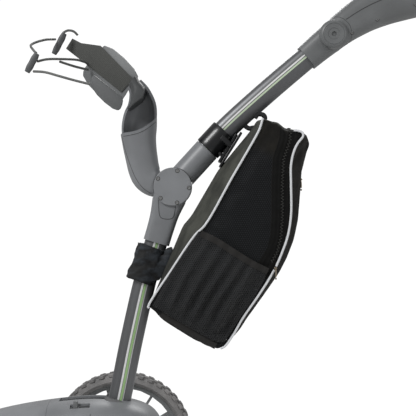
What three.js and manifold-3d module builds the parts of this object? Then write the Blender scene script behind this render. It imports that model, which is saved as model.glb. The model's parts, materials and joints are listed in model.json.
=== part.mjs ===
// Three-wheeled golf push cart with a soft accessory bag hung on its mast.
// Millimetres, +Z up. X runs from the front wheel (-X) to the handle (+X), Y across the cart.
// The origin is on the ground, under the middle of the cart's length.
import * as THREE from "three";
import { mergeVertices } from "three/addons/utils/BufferGeometryUtils.js";
import Module from "manifold-3d";

const wasm = await Module();
wasm.setup();

// ---------------------------------------------------------------- driving dimensions
const OVERALL_LENGTH = 1320;
const GAP = 0.4; // between touching pieces
const CLEAR = 0.1; // radial running clearance of a shaft in its bore
const THROUGH = 200; // half the length of a cutting tool that passes right through

const REAR_WHEEL_R = 152;
const FRONT_WHEEL_R = 110;
const TYRE_WIDTH = 58;
const FRONT_TYRE_WIDTH = 44;
const REAR_TRACK = 560; // between the rear wheels' middle planes
const REAR_AXLE_X = -30;
const FRONT_AXLE_X = -OVERALL_LENGTH / 2 + FRONT_WHEEL_R;
const AXLE_R = 8;
const AXLE_TUBE_R = 19;

const HOUSING_WALL = 4;
const TUBE_DEPTH = 43; // the mast tubes' oval section, front to back
const TUBE_WIDTH = 34; // and across
const TUBE_WALL = 2;
const MAST_PIN = [-26, 250];
const MAST_FOOT = [-31, 229];
const MAST_PIN_R = 6;

const HUB = [87, 695];
const HUB_R = 36;
const HUB_CHEEK_OUT = 27;
const HUB_CHEEK_IN = 17;
const HUB_PIN_R = 7;
const HUB_COVER = 3;
const FORK_IN = 7; // the arm's two hub discs stand outside the sleeve's tongue
const SLEEVE_R = TUBE_DEPTH / 2 + 2.5;
const COLLAR_R = TUBE_DEPTH / 2 + 4.5;
const COLLAR_LENGTH = 47;

const GRIP_R = 17.5;
const HANDLE_PIVOT = [389, 980];
const HANDLE_HALF_WIDTH = 33;
const HANDLE_WALL = 4;
const HANDLE_PIN_R = 7;
const HANDLE_SEAM_R = 34;
const HANDLE_ANGLE = 0.66; // the handle's lean at its pivot, in radians
const TONGUE_R = 24;
const TONGUE_HALF = 8;
const BOSS_R = 27;
const BOSS_HEIGHT = 14;
const BAR_AT = [OVERALL_LENGTH / 2 - GRIP_R, 1062];
const BAR_R = 13;
const BAR_WALL = 2;
const BAR_SPAN = 340;
const GRIP_LENGTH = 118;

const BAG_WIDTH = 200;
const BAG_WALL = 8;
const BAG_BACK_CROWN = [0, 8, 18, 28, 35, 33, 27, 20, 8]; // from the bag's foot to its top
const BAG_FRONT_CROWN = [0, 3, 5, 7, 11, 13, 17, 23, 24];
const POCKET_DEPTH = 16;
const POCKET_WALL = 3;
const STRAP_THICK = 4;
const CORD_R = 2.4;

// ---------------------------------------------------------------- materials
const plastic = (color, roughness = 0.6) =>
  new THREE.MeshStandardMaterial({ color, roughness, metalness: 0 });
const GREY_PLASTIC = plastic(0x8a8c8e, 0.55);
const DARK_GREY_PLASTIC = plastic(0x626463, 0.6);
const BLACK_PLASTIC = plastic(0x17191b, 0.35);
const RUBBER = plastic(0x77787a, 0.85);
const WEBBING = plastic(0x50514f, 0.9);
const BAG_FABRIC = plastic(0x1d1e1e, 0.85);
const MESH_FABRIC = plastic(0x0f100f, 0.9);
const ALUMINIUM = new THREE.MeshStandardMaterial({ color: 0x8c8e90, roughness: 0.3, metalness: 0.9 });
const STEEL = new THREE.MeshStandardMaterial({ color: 0xa8aaac, roughness: 0.35, metalness: 1 });

// ---------------------------------------------------------------- solids
const solid = (geometry) => {
  const bare = geometry.clone();
  const spare = Object.keys(bare.attributes).filter((name) => name !== "position");
  for (const name of spare) bare.deleteAttribute(name);
  const merged = mergeVertices(bare, 1e-4);
  return new wasm.Manifold(
    new wasm.Mesh({
      numProp: 3,
      vertProperties: new Float32Array(merged.attributes.position.array),
      triVerts: new Uint32Array(merged.index.array),
    }),
  );
};

const geometryOf = (made) => {
  const mesh = made.getMesh();
  const step = mesh.numProp;
  const position = new Float32Array(mesh.numVert * 3);
  for (let i = 0; i < mesh.numVert; i++)
    position.set(mesh.vertProperties.subarray(i * step, i * step + 3), i * 3);
  const geometry = new THREE.BufferGeometry()
    .setAttribute("position", new THREE.BufferAttribute(position, 3))
    .setIndex(new THREE.BufferAttribute(mesh.triVerts, 1));
  geometry.computeVertexNormals();
  return geometry;
};

const asSolid = (piece) => (piece.isBufferGeometry ? solid(piece) : piece);
const cut = (body, ...tools) => tools.reduce((left, t) => left.subtract(asSolid(t)), asSolid(body));
const join = (...pieces) => pieces.map(asSolid).reduce((all, p) => all.add(p));
const common = (a, b) => asSolid(a).intersect(asSolid(b));

// ---------------------------------------------------------------- shapes
const point = ([x, z], y = 0) => new THREE.Vector3(x, y, z);

// A smooth path in the XZ plane through the given [x, z] points.
const pathThrough = (points) =>
  new THREE.CatmullRomCurve3(points.map((p) => point(p)), false, "centripetal");

// A size that runs smoothly through the values given at even steps from 0 to 1.
const sizeAlong = (values) => (t) => {
  if (typeof values === "number") return values;
  const at = t * (values.length - 1);
  const i = Math.min(Math.floor(at), values.length - 2);
  return THREE.MathUtils.lerp(values[i], values[i + 1], at - i);
};

// A closed bar along a path in the XZ plane. halfDepth lies in that plane and halfWidth along Y, each a
// number or a list of values along the path. squareness 2 is an ellipse, and more is squarer.
function sweep(path, halfDepth, halfWidth, { squareness = 2, around = 16, steps = 8 } = {}) {
  const geometry = new THREE.CylinderGeometry(1, 1, 1, around, steps);
  const depth = sizeAlong(halfDepth);
  const width = sizeAlong(halfWidth);
  const positions = geometry.attributes.position;
  const power = 2 / squareness;
  const blunt = (v) => (Math.abs(v) < 1e-9 ? 0 : Math.sign(v) * Math.abs(v) ** power);
  for (let i = 0; i < positions.count; i++) {
    const t = THREE.MathUtils.clamp(positions.getY(i) + 0.5, 0, 1);
    const tangent = path.getTangentAt(t);
    const normal = new THREE.Vector3(-tangent.z, 0, tangent.x);
    const at = path
      .getPointAt(t)
      .addScaledVector(normal, depth(t) * blunt(positions.getX(i)));
    positions.setXYZ(i, at.x, width(t) * blunt(positions.getZ(i)), at.z);
  }
  return geometry;
}

// An outline of [x, z] points, extruded along Y from y0 to y1. smooth makes it a closed curve of that many
// points.
function plate(points, y0, y1, { smooth = 0, steps = 1 } = {}) {
  let outline = points.map(([x, z]) => new THREE.Vector2(x, z));
  if (smooth) {
    const curve = new THREE.CatmullRomCurve3(points.map((p) => point(p)), true, "centripetal");
    outline = curve.getPoints(smooth).slice(0, -1).map((p) => new THREE.Vector2(p.x, p.z));
  }
  if (THREE.ShapeUtils.isClockWise(outline)) outline.reverse();
  return new THREE.ExtrudeGeometry(new THREE.Shape(outline), {
    depth: y1 - y0,
    steps,
    bevelEnabled: false,
    curveSegments: 1,
  })
    .rotateX(Math.PI / 2)
    .translate(0, y1, 0);
}

// A round bar along Y.
const rodY = (r, [x, z], y0, y1, around = 24) =>
  new THREE.CylinderGeometry(r, r, y1 - y0, around).translate(x, (y0 + y1) / 2, z);

// A round or oval bar between two [x, z] points at the same y.
const bar = (from, to, halfDepth, halfWidth, options = {}) =>
  sweep(new THREE.LineCurve3(point(from), point(to)), halfDepth, halfWidth, { steps: 1, ...options });

const block = (length, width, height, [x, y, z], turn = 0) =>
  new THREE.BoxGeometry(length, width, height).rotateY(-turn).translate(x, y, z);

// A ring about the Y axis from a closed profile of [radius, y] points. The radii are those of its flats, and
// one flat faces straight down, so that a wheel stands still.
function ring(profile, segments) {
  const grown = 1 / Math.cos(Math.PI / segments);
  const points = [...profile, profile[0]].map(([r, y]) => new THREE.Vector2(r * grown, y));
  return new THREE.LatheGeometry(points, segments).rotateY(Math.PI / segments);
}

// The span from inner to outer across the cart, on the far side (1) or the near side (-1), as [y0, y1].
const spanOn = (side, inner, outer) => (side > 0 ? [inner, outer] : [-outer, -inner]);
const thinner = (values, wall) => values.map((v) => v - wall);
const angleOf = (a, b) => Math.atan2(b[1] - a[1], b[0] - a[0]);
const offset = ([x, z], angle, distance) => [x + Math.cos(angle) * distance, z + Math.sin(angle) * distance];

// ---------------------------------------------------------------- the cart as a scene graph
const cart = new THREE.Group();
function place(name, shape, material, at = [0, 0, 0]) {
  const mesh = new THREE.Mesh(shape.isBufferGeometry ? shape : geometryOf(shape), material);
  mesh.name = name;
  mesh.position.set(...at);
  cart.add(mesh);
}

// ---------------------------------------------------------------- mast line
const MAST_LINE = [MAST_FOOT, [-16, 285], [8, 403], [34, 517], [55, 590], [70, 640]];
const mastPath = pathThrough(MAST_LINE);
const UPPER_ANGLE = THREE.MathUtils.degToRad(47.6);
const sleeveEnd = offset(HUB, UPPER_ANGLE, 96);
const upperLine = [offset(HUB, UPPER_ANGLE, 60), sleeveEnd, [190, 807], [265, 875], [346, 944], [366, 960.5]];
const upperPath = pathThrough(upperLine);
const OVAL = { squareness: 2.4, around: 14 };
const ovalSweep = (path, grow, steps) =>
  sweep(path, TUBE_DEPTH / 2 + grow, TUBE_WIDTH / 2 + grow, { ...OVAL, steps });
const hollowTube = (path, longer, steps) =>
  cut(ovalSweep(path, 0, steps), ovalSweep(longer, -TUBE_WALL, steps));

function mastTubes() {
  const longerMast = pathThrough([[-36, 209], ...MAST_LINE, [76, 662]]);
  const longerUpper = pathThrough([offset(HUB, UPPER_ANGLE, 40), ...upperLine, [386, 977]]);
  const pinHole = rodY(MAST_PIN_R + CLEAR, MAST_PIN, -THROUGH, THROUGH);
  place("lower_tube", cut(hollowTube(mastPath, longerMast, 6), pinHole), ALUMINIUM);
  place("upper_tube", hollowTube(upperPath, longerUpper, 6), ALUMINIUM);
}

// ---------------------------------------------------------------- hub
function hub() {
  const sleeveBottom = [55.5, 590];
  const sleevePath = pathThrough([sleeveBottom, [66, 625], [76, 658], HUB]);
  const section = { squareness: 2.5, around: 14, steps: 4 };
  const depths = [3.5, 4, 5.5, 10.5].map((wall) => TUBE_DEPTH / 2 + wall);
  const widths = [...[5, 5, 7].map((wall) => TUBE_WIDTH / 2 + wall), HUB_CHEEK_OUT];
  const stem = sweep(sleevePath, depths, widths, section);
  const body = join(stem, rodY(HUB_R, HUB, -HUB_CHEEK_OUT, HUB_CHEEK_OUT, 28));
  const slot = rodY(HUB_R + 3, HUB, -HUB_CHEEK_IN, HUB_CHEEK_IN, 28);
  const slotAbove = block(120, 2 * HUB_CHEEK_IN, 60, [HUB[0], 0, HUB[1] + 30]);
  const tubeSpace = ovalSweep(pathThrough([[48, 560], [55, 590], [70, 640], [76, 662]]), GAP, 4);
  const pinHole = rodY(HUB_PIN_R + CLEAR, HUB, -THROUGH, THROUGH);
  const armSweep = block(60, 2 * HUB_CHEEK_IN, 80, [HUB[0] - 40, 0, HUB[1] + 20]);
  place("hub_sleeve", cut(body, slot, slotAbove, armSweep, tubeSpace, pinHole), GREY_PLASTIC);
  for (const [side, name] of [[-1, "hub_cover_near"], [1, "hub_cover_far"]]) {
    const y = side * (HUB_CHEEK_OUT + GAP + HUB_COVER / 2);
    place(name, rodY(HUB_R, HUB, y - HUB_COVER / 2, y + HUB_COVER / 2, 28), GREY_PLASTIC);
  }
  place("hub_pin", rodY(HUB_PIN_R, HUB, -HUB_CHEEK_OUT, HUB_CHEEK_OUT), STEEL);
}

// The sleeve above the hub carries the upper tube; its tongue is held on the hub's pin.
const BOXY = { squareness: 8, around: 16 };
function upperSleeve() {
  const start = offset(HUB, UPPER_ANGLE, HUB_R + 2);
  const tongue = cut(
    join(
      rodY(HUB_R - 4, HUB, -FORK_IN + GAP, FORK_IN - GAP, 32),
      bar(HUB, offset(HUB, UPPER_ANGLE, HUB_R + 10), 20, FORK_IN - GAP, BOXY),
    ),
    rodY(HUB_PIN_R + CLEAR, HUB, -THROUGH, THROUGH),
  );
  const barrel = cut(
    bar(start, sleeveEnd, SLEEVE_R, SLEEVE_R, { around: 20 }),
    rodY(HUB_R + 1.5, HUB, -60, 60, 28),
    ovalSweep(pathThrough([offset(HUB, UPPER_ANGLE, 59), sleeveEnd, [190, 807]]), GAP + 0.2, 2),
  );
  place("upper_sleeve", join(barrel, tongue), GREY_PLASTIC);
}

// ---------------------------------------------------------------- collar that holds the bag
const collarStart = offset(sleeveEnd, UPPER_ANGLE, 1);
const collarEnd = offset(collarStart, UPPER_ANGLE - 0.01, COLLAR_LENGTH);
const PLATE_ANGLE = THREE.MathUtils.degToRad(58);
const collarMiddle = offset(collarStart, UPPER_ANGLE - 0.01, COLLAR_LENGTH / 2);
const plateMiddle = offset(collarMiddle, THREE.MathUtils.degToRad(-35.1), COLLAR_R + 1.6);
const HOOK_HALF = 2.5; // half the thickness of the bag's hook plate
const HOOK_OUT = 3 + HOOK_HALF + GAP; // from the collar's back plate to the bag's hook plate
const hookMiddle = offset(plateMiddle, PLATE_ANGLE - Math.PI / 2, HOOK_OUT);
const platePiece = (middle, halfLength, halfThick, halfWidth) =>
  bar(
    offset(middle, PLATE_ANGLE, -halfLength),
    offset(middle, PLATE_ANGLE, halfLength),
    halfThick,
    halfWidth,
    { squareness: 8 },
  );

function collar() {
  const shell = bar(collarStart, collarEnd, COLLAR_R, COLLAR_R, { around: 20 });
  const back = platePiece(plateMiddle, 31, 3, 24);
  place("tube_collar", cut(join(shell, back), ovalSweep(upperPath, GAP + 0.2, 6)), BLACK_PLASTIC);
  const shellSpace = bar(collarStart, collarEnd, COLLAR_R + GAP, COLLAR_R + GAP, { around: 20 });
  place("bag_hook_plate", cut(platePiece(hookMiddle, 38, HOOK_HALF, 30), shellSpace), BLACK_PLASTIC);
}

// ---------------------------------------------------------------- accessory bag
const BAG_BACK = [
  [253, 818], [249, 804], [245, 794], [197, 710], [148, 624], [130, 606], [86, 541], [45, 476],
];
const BAG_BOTTOM = [[66, 459], [92, 443], [132, 418], [146, 412], [170, 398]];
const BAG_LOWER_FRONT = [[184, 404], [198, 423], [217, 456], [244, 495], [261, 521], [274, 543], [286, 570]];
const BAG_UPPER_FRONT = [[298, 604], [304, 642], [304, 699], [304, 733], [309, 757], [316, 772], [326, 786]];
const BAG_TOP = [[323, 795], [302, 796], [295, 794], [283, 807], [269, 813]];
const bagOutline = [...BAG_BACK, ...BAG_BOTTOM, ...BAG_LOWER_FRONT, ...BAG_UPPER_FRONT, ...BAG_TOP];

// The outline taken in by a wall's thickness. A corner point that would come nearer the outline is left out.
function inset(outline, by) {
  const n = outline.length;
  const moved = outline.map((p, i) => {
    const angle = angleOf(outline[(i + n - 1) % n], outline[(i + 1) % n]);
    return offset(p, angle + Math.PI / 2, by);
  });
  const near = ([x, z]) => {
    const p = new THREE.Vector3(x, 0, z);
    const nearest = outline.map((a, i) => {
      const edge = new THREE.Line3(point(a), point(outline[(i + 1) % n]));
      return edge.closestPointToPoint(p, true, new THREE.Vector3()).distanceTo(p);
    });
    return Math.min(...nearest) < 0.85 * Math.abs(by);
  };
  return moved.filter((p) => !near(p));
}

// Swells the long faces of the bag's extruded outline: the back towards the mast, and the front away from it.
function crown(geometry, halfWidth) {
  const positions = geometry.attributes.position;
  const along = new THREE.Vector2(0.54, 0.84); // the bag's long direction, up and to the rear
  const foot = new THREE.Vector2(45, 476);
  const backSwell = sizeAlong(BAG_BACK_CROWN);
  const frontSwell = sizeAlong(BAG_FRONT_CROWN);
  for (let i = 0; i < positions.count; i++) {
    const x = positions.getX(i);
    const y = positions.getY(i);
    const z = positions.getZ(i);
    const out = 1 - (y / halfWidth) ** 2;
    const from = new THREE.Vector2(x, z).sub(foot);
    const up = THREE.MathUtils.clamp(from.dot(along) / 400, 0, 1);
    const across = from.x * along.y - from.y * along.x; // 0 at the back, and more towards the front
    const back = -backSwell(up) * THREE.MathUtils.clamp((30 - across) / 25, 0, 1);
    const front = frontSwell(up) * THREE.MathUtils.clamp((across - 45) / 25, 0, 1);
    const swell = (back + front) * out;
    positions.setXYZ(i, x + swell * along.y, y, z - swell * along.x);
  }
  return geometry;
}

const BAG_HALF = BAG_WIDTH / 2;
const bagSolid = (outline, half) => solid(crown(plate(outline, -half, half, { steps: 4 }), half));

// The lid is the part of the bag in front of the zip; it swings down about the zip's lower end.
const ZIP_LINE = [
  [262, 546], [279, 575], [286, 604], [288, 642], [288, 699], [290, 742], [302, 778], [306, 830],
];
const LID_FOOT = [258, 538];
const lidSpace = (gap) => {
  const foot = [LID_FOOT[0] - gap, LID_FOOT[1] - gap];
  const zip = ZIP_LINE.map(([x, z]) => [x - gap, z]);
  return plate([foot, ...zip, [400, 830], [400, 480], [278, 530 - gap]], -THROUGH, THROUGH);
};

function bag() {
  const shell = cut(
    bagSolid(bagOutline, BAG_HALF),
    bagSolid(inset(bagOutline, BAG_WALL), BAG_HALF - BAG_WALL),
  );
  const recess = platePiece(hookMiddle, 39, HOOK_HALF + GAP, 31);
  place("bag_body", cut(shell, lidSpace(GAP), recess, ovalSweep(mastPath, GAP, 6)), BAG_FABRIC);
  place("bag_lid", common(shell, lidSpace(0)), BAG_FABRIC);
}

// An open-topped mesh pouch on the near side of the bag.
const POCKET = [
  [143, 616], [132, 604], [88, 540], [52, 475], [92, 447], [133, 422], [168, 402], [184, 407], [213, 455],
  [242, 497], [262, 541],
];
function pocket() {
  const y = -BAG_HALF - GAP;
  const outer = plate(POCKET, y - POCKET_DEPTH, y);
  const inner = plate(inset(POCKET, POCKET_WALL), y - POCKET_DEPTH + POCKET_WALL, y + 1);
  const mouthLine = [[139, 606], [148, 624], [270, 548], [257, 532]];
  const mouth = plate(mouthLine, y - POCKET_DEPTH + POCKET_WALL, y + 1);
  place("mesh_pocket", cut(outer, inner, mouth), MESH_FABRIC);
}

// The hook-and-loop strap round the lower tube, with its ears sewn to the bag's back.
function bagStrap() {
  const out = STRAP_THICK + GAP;
  const band = bar([27.5, 523], [46, 571], TUBE_DEPTH / 2 + out, TUBE_WIDTH / 2 + out, OVAL);
  const ear = plate([[45, 520], [66, 524], [92, 580], [70, 574], [45, 556]], -13, 13);
  const back = bagSolid(inset(bagOutline, -GAP), BAG_HALF + GAP);
  place("bag_strap", cut(join(band, ear), ovalSweep(mastPath, GAP, 6), back), BAG_FABRIC);
}

// A webbing loop at the bag's top corner, held under the upper tube by a stud.
function topLoop() {
  const outline = [
    [222, 812], [230, 804], [256, 822], [264, 832], [246, 840], [240, 834], [249, 829], [236, 818],
  ];
  const tube = ovalSweep(upperPath, GAP, 6);
  const back = bagSolid(inset(bagOutline, -GAP), BAG_HALF + GAP);
  place("top_loop", cut(plate(outline, -12, 12), tube, back), WEBBING);
}

const ZIP_PULLS = [
  ["upper_zip_pull", [321.5, 708], -34],
  ["lower_zip_pull", [274, 546], -BAG_HALF - 5.5],
];
const ZIP_PULL_LENGTH = 22;
function zipPulls() {
  for (const [name, [x, z], y] of ZIP_PULLS) {
    const low = z - ZIP_PULL_LENGTH;
    place(name, plate([[x, z + 2], [x + 3.5, z + 1], [x + 4, low], [x + 1, low]], y - 4, y + 4), STEEL);
  }
}

// ---------------------------------------------------------------- golf bag bracket on the hub
const ARM_LINE = [
  [50, 702], [38, 713], [32, 728], [27.5, 750], [23.5, 775], [21.5, 801], [23, 823], [27, 850], [22, 876],
];
const ARM_DEPTHS = [24, 29, 30, 31, 32.5, 34.5, 33, 27, 19];
const ARM_WIDTHS = [24, 27, 31, 36, 41, 45, 47, 45, 40];
const ARM_WALL = 3.5;
// The arm's inside, this far within its outside.
function armCavity(wall) {
  const depths = thinner([27, ...ARM_DEPTHS.slice(2)], wall);
  const widths = thinner([27, ...ARM_WIDTHS.slice(2)], wall);
  const path = pathThrough([[36, 717], ...ARM_LINE.slice(2), [17, 890]]);
  return sweep(path, depths, widths, { squareness: 2.6, around: 14, steps: 7 });
}

function bracketArm() {
  const section = { squareness: 2.6, around: 14, steps: 8 };
  const shell = sweep(pathThrough(ARM_LINE), ARM_DEPTHS, ARM_WIDTHS, section);
  const mouthLine = [[-30, 792], [-8, 795], [28, 802], [58, 827], [80, 850], [60, 940], [-60, 940]];
  const mouth = plate(mouthLine, -70, 16);
  const clearHub = rodY(HUB_R + 1.5, HUB, -60, 60, 32);
  const besideHub = block(60, 120, 60, [70, 0, 660]);
  const arms = [-1, 1].flatMap((side) => {
    const [y0, y1] = spanOn(side, FORK_IN, HUB_CHEEK_IN - GAP);
    const tie = plate([[42, 716], [66, 716], HUB, [66, 676], [42, 684]], y0, y1);
    return [rodY(HUB_R - 4, HUB, y0, y1, 24), tie];
  });
  const open = cut(shell, armCavity(ARM_WALL), mouth, clearHub, besideHub);
  const pinHole = rodY(HUB_PIN_R + CLEAR, HUB, -THROUGH, THROUGH);
  place("bracket_arm", cut(join(open, ...arms), pinHole), GREY_PLASTIC);
}

const WING_FOOT_X = 20;
const WING_LEAN = 0.65; // how far a wing stands out sideways for each millimetre forward
function cradle() {
  const yoke = plate([[-15, 866], [18, 904], [36, 889], [30, 862], [6, 842], [-8, 846]], -34, 44);
  place("bracket_yoke", common(yoke, armCavity(ARM_WALL + 1)), DARK_GREY_PLASTIC);
  const slanted = (points, y0, y1, lean) => {
    const geometry = plate(points, y0, y1);
    const positions = geometry.attributes.position;
    for (let i = 0; i < positions.count; i++)
      positions.setY(i, positions.getY(i) + lean * (WING_FOOT_X - positions.getX(i)));
    return geometry;
  };
  const farWing = [[-49, 973], [20, 907], [10, 898], [-18, 872], [-83, 931], [-76, 946]];
  place("far_wing", slanted(farWing, 15, 23, WING_LEAN), DARK_GREY_PLASTIC);
  const nearWing = [[-52, 893], [-60, 876], [-16, 838], [-10, 850]];
  place("near_wing", slanted(nearWing, -24, -16, -WING_LEAN), DARK_GREY_PLASTIC);
  const strap = [[-116, 992], [-97, 981], [-56, 972], [10, 902], [-14, 878], [-84, 936], [-130, 973]];
  place("wing_strap", slanted(strap, 11.5, 14.5, WING_LEAN), WEBBING);
}

const CORDS = {
  lower_cord: [[-63, -76, 882], [-94, -74, 890], [-122, -72, 898], [-148, -60, 906], [-171, -47, 909]],
  middle_cord: [[-165, -36, 929], [-150, -20, 935], [-126, 0, 938], [-100, 35, 941], [-86, 76, 941]],
  inner_cord: [[-128, 0, 933], [-104, 32, 928], [-82, 70, 926]],
  upper_cord: [[-147, 78, 987], [-164, 40, 980], [-184, 5, 965], [-177, -10, 954], [-168, -34, 945]],
  toggle_loop: [[-133, 88, 1001], [-124, 90, 1006], [-113, 94, 1005], [-105, 98, 998]],
};
const cordAlong = (points) =>
  new THREE.ExtrudeGeometry(
    new THREE.Shape(new THREE.EllipseCurve(0, 0, CORD_R, CORD_R).getPoints(8).slice(0, -1)),
    {
      extrudePath: new THREE.CatmullRomCurve3(points.map((p) => new THREE.Vector3(...p))),
      steps: 2 * (points.length - 1),
      bevelEnabled: false,
    },
  );
function cords() {
  for (const [name, points] of Object.entries(CORDS)) place(name, cordAlong(points), WEBBING);
  const toggle = (name, low, high, y) => {
    const body = bar(low, high, 6.5, 4.5, { squareness: 3, around: 12 });
    place(name, body.translate(0, y, 0), DARK_GREY_PLASTIC);
  };
  toggle("far_toggle", [-150, 958], [-129, 999], 80);
  toggle("near_toggle", [-184, 908], [-165, 943], -42);
}

// ---------------------------------------------------------------- handle
const HANDLE_LINE = [
  [340, 939], [364, 959.5], HANDLE_PIVOT, [420, 1004], [458, 1028], [500, 1046], [545, 1057], [590, 1062],
  [BAR_AT[0] + 4, BAR_AT[1]],
];
const HANDLE_DEPTHS = [25, 27, 29.5, 34, 38, 40, 38, 32, 22];
const HANDLE_WIDTHS = [22.5, 26, HANDLE_HALF_WIDTH, HANDLE_HALF_WIDTH, 36, 40, 44, 44, 34];
const SQUARE = { squareness: 20, around: 16 };

// The fixed socket's place: its round end at the pivot, and all on the tube's side of that.
function socketZone(radius) {
  const below = offset(HANDLE_PIVOT, HANDLE_ANGLE, -90);
  return join(rodY(radius, HANDLE_PIVOT, -80, 80, 24), bar(HANDLE_PIVOT, below, 90, 80, SQUARE));
}

function handleOutside(grow) {
  const section = { squareness: 2.8, around: 14, steps: 10 };
  const depths = thinner(HANDLE_DEPTHS, -grow);
  return solid(sweep(pathThrough(HANDLE_LINE), depths, thinner(HANDLE_WIDTHS, -grow), section));
}

function handle() {
  const outside = handleOutside(0);
  const inside = sweep(
    pathThrough([[410, 997], ...HANDLE_LINE.slice(3, -1), [BAR_AT[0] - 20, BAR_AT[1]]]),
    thinner([33, 34, 38, 40, 38, 32, 28], HANDLE_WALL),
    thinner([HANDLE_HALF_WIDTH, HANDLE_HALF_WIDTH, 36, 40, 44, 44, 40], HANDLE_WALL),
    { squareness: 2.8, around: 14, steps: 7 },
  );
  const round = (r, half) => rodY(r, HANDLE_PIVOT, -half, half, 24);
  const along = (distance, halfDepth, halfWidth) =>
    bar(HANDLE_PIVOT, offset(HANDLE_PIVOT, HANDLE_ANGLE, distance), halfDepth, halfWidth, SQUARE);
  const pinHole = round(HANDLE_PIN_R + CLEAR, 80);
  const slot = join(round(TONGUE_R + 2.5, TONGUE_HALF + GAP), along(150, 150, TONGUE_HALF + GAP));
  const socket = common(outside, socketZone(HANDLE_SEAM_R));
  place("handle_socket", cut(socket, ovalSweep(upperPath, GAP, 6), slot, pinHole), DARK_GREY_PLASTIC);
  const overSocket = plate([[330, 900], [389, 1040], [300, 1040]], -80, 80);
  const tongue = common(
    cut(outside, overSocket),
    join(round(TONGUE_R, TONGUE_HALF), along(66, 24, TONGUE_HALF)),
  );
  const shell = cut(outside, socketZone(HANDLE_SEAM_R + 0.6), inside);
  const barSpace = rodY(BAR_R + GAP, BAR_AT, -60, 60);
  place("handle_shell", cut(join(shell, tongue), barSpace, pinHole), DARK_GREY_PLASTIC);
}

function handleBar() {
  const tube = rodY(BAR_R, BAR_AT, -BAR_SPAN / 2, BAR_SPAN / 2);
  const hollow = rodY(BAR_R - BAR_WALL, BAR_AT, -BAR_SPAN, BAR_SPAN);
  place("handle_bar", cut(tube, hollow), ALUMINIUM);
  const end = BAR_SPAN / 2 + 4;
  for (const [side, name] of [[-1, "near_grip"], [1, "far_grip"]]) {
    const sleeve = rodY(GRIP_R, BAR_AT, ...spanOn(side, end - GRIP_LENGTH, end), 20);
    const bore = rodY(BAR_R + GAP, BAR_AT, ...spanOn(side, end - GRIP_LENGTH - 1, BAR_SPAN / 2 + GAP));
    place(name, cut(sleeve, bore), RUBBER);
  }
}

// The round caps stand on the socket's two sides, over the ends of the handle's pin.
function handlePivot() {
  const base = HANDLE_HALF_WIDTH - 10;
  const top = HANDLE_HALF_WIDTH + BOSS_HEIGHT - 4;
  const reach = HANDLE_HALF_WIDTH - 6;
  const pinSpace = rodY(HANDLE_PIN_R + GAP, HANDLE_PIVOT, -reach - GAP, reach + GAP);
  const profile = [
    [0, base], [BOSS_R, base], [BOSS_R, top - 3], [BOSS_R - 6, top],
    [HANDLE_PIN_R + 4, top - 2], [0, top - 2],
  ].map(([r, y]) => new THREE.Vector2(r, y));
  for (const [side, name] of [[-1, "pivot_cap_near"], [1, "pivot_cap_far"]]) {
    const cap = new THREE.LatheGeometry(profile, 20);
    if (side < 0) cap.rotateZ(Math.PI);
    cap.translate(HANDLE_PIVOT[0], 0, HANDLE_PIVOT[1]);
    place(name, cut(cap, handleOutside(GAP), pinSpace), DARK_GREY_PLASTIC);
  }
  place("handle_pin", rodY(HANDLE_PIN_R, HANDLE_PIVOT, -reach, reach), STEEL);
}

// ---------------------------------------------------------------- brake lugs and chassis
const BRAKE_PIN = [82, 184];
const BRAKE_PIN_R = 4;
const PEDAL_HALF = 30;
const brakeBore = () => rodY(BRAKE_PIN_R + CLEAR, BRAKE_PIN, -THROUGH, THROUGH);
const SPLIT_Z = 196;
const HOUSING_TOP = [
  [-436, 188], [-400, 214], [-330, 245], [-242, 272], [-147, 289], [-52, 296], [20, 286], [50, 270],
  [72, 236],
];
const HOUSING_BOTTOM_Z = [168, 140, 122, 114, 110, 108, 112, 124, 166];
const HOUSING_HALF_WIDTHS = [30, 42, 56, 72, 84, 88, 86, 78, 60];
function housingSweep(grow) {
  const middle = HOUSING_TOP.map(([x, top], i) => [x, (top + HOUSING_BOTTOM_Z[i]) / 2]);
  const half = HOUSING_TOP.map(([, top], i) => (top - HOUSING_BOTTOM_Z[i]) / 2 + grow);
  const ends = [middle[0][0] - grow, middle.at(-1)[0] + grow];
  const geometry = new THREE.CylinderGeometry(1, 1, 1, 16, 10);
  const positions = geometry.attributes.position;
  const blunt = (v) => (Math.abs(v) < 1e-9 ? 0 : Math.sign(v) * Math.abs(v) ** (2 / 3));
  for (let i = 0; i < positions.count; i++) {
    const x = THREE.MathUtils.lerp(...ends, THREE.MathUtils.clamp(positions.getY(i) + 0.5, 0, 1));
    const after = middle.findIndex((p) => p[0] > x);
    const k = THREE.MathUtils.clamp((after < 0 ? middle.length : after) - 1, 0, middle.length - 2);
    const t = THREE.MathUtils.clamp((x - middle[k][0]) / (middle[k + 1][0] - middle[k][0]), 0, 1);
    const z = THREE.MathUtils.lerp(middle[k][1], middle[k + 1][1], t);
    const depth = THREE.MathUtils.lerp(half[k], half[k + 1], t);
    const width = THREE.MathUtils.lerp(HOUSING_HALF_WIDTHS[k], HOUSING_HALF_WIDTHS[k + 1], t) + grow;
    positions.setXYZ(i, x, width * blunt(positions.getZ(i)), z + depth * blunt(positions.getX(i)));
  }
  return geometry;
}

function brakeLugs() {
  const lug = (y) => plate([[64, 172], [90, 176], [90, 192], [64, 194]], y - 3, y + 3);
  const reach = PEDAL_HALF + GAP + 3;
  return cut(join(lug(-reach), lug(reach)), housingSweep(-HOUSING_WALL / 2), brakeBore());
}

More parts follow.
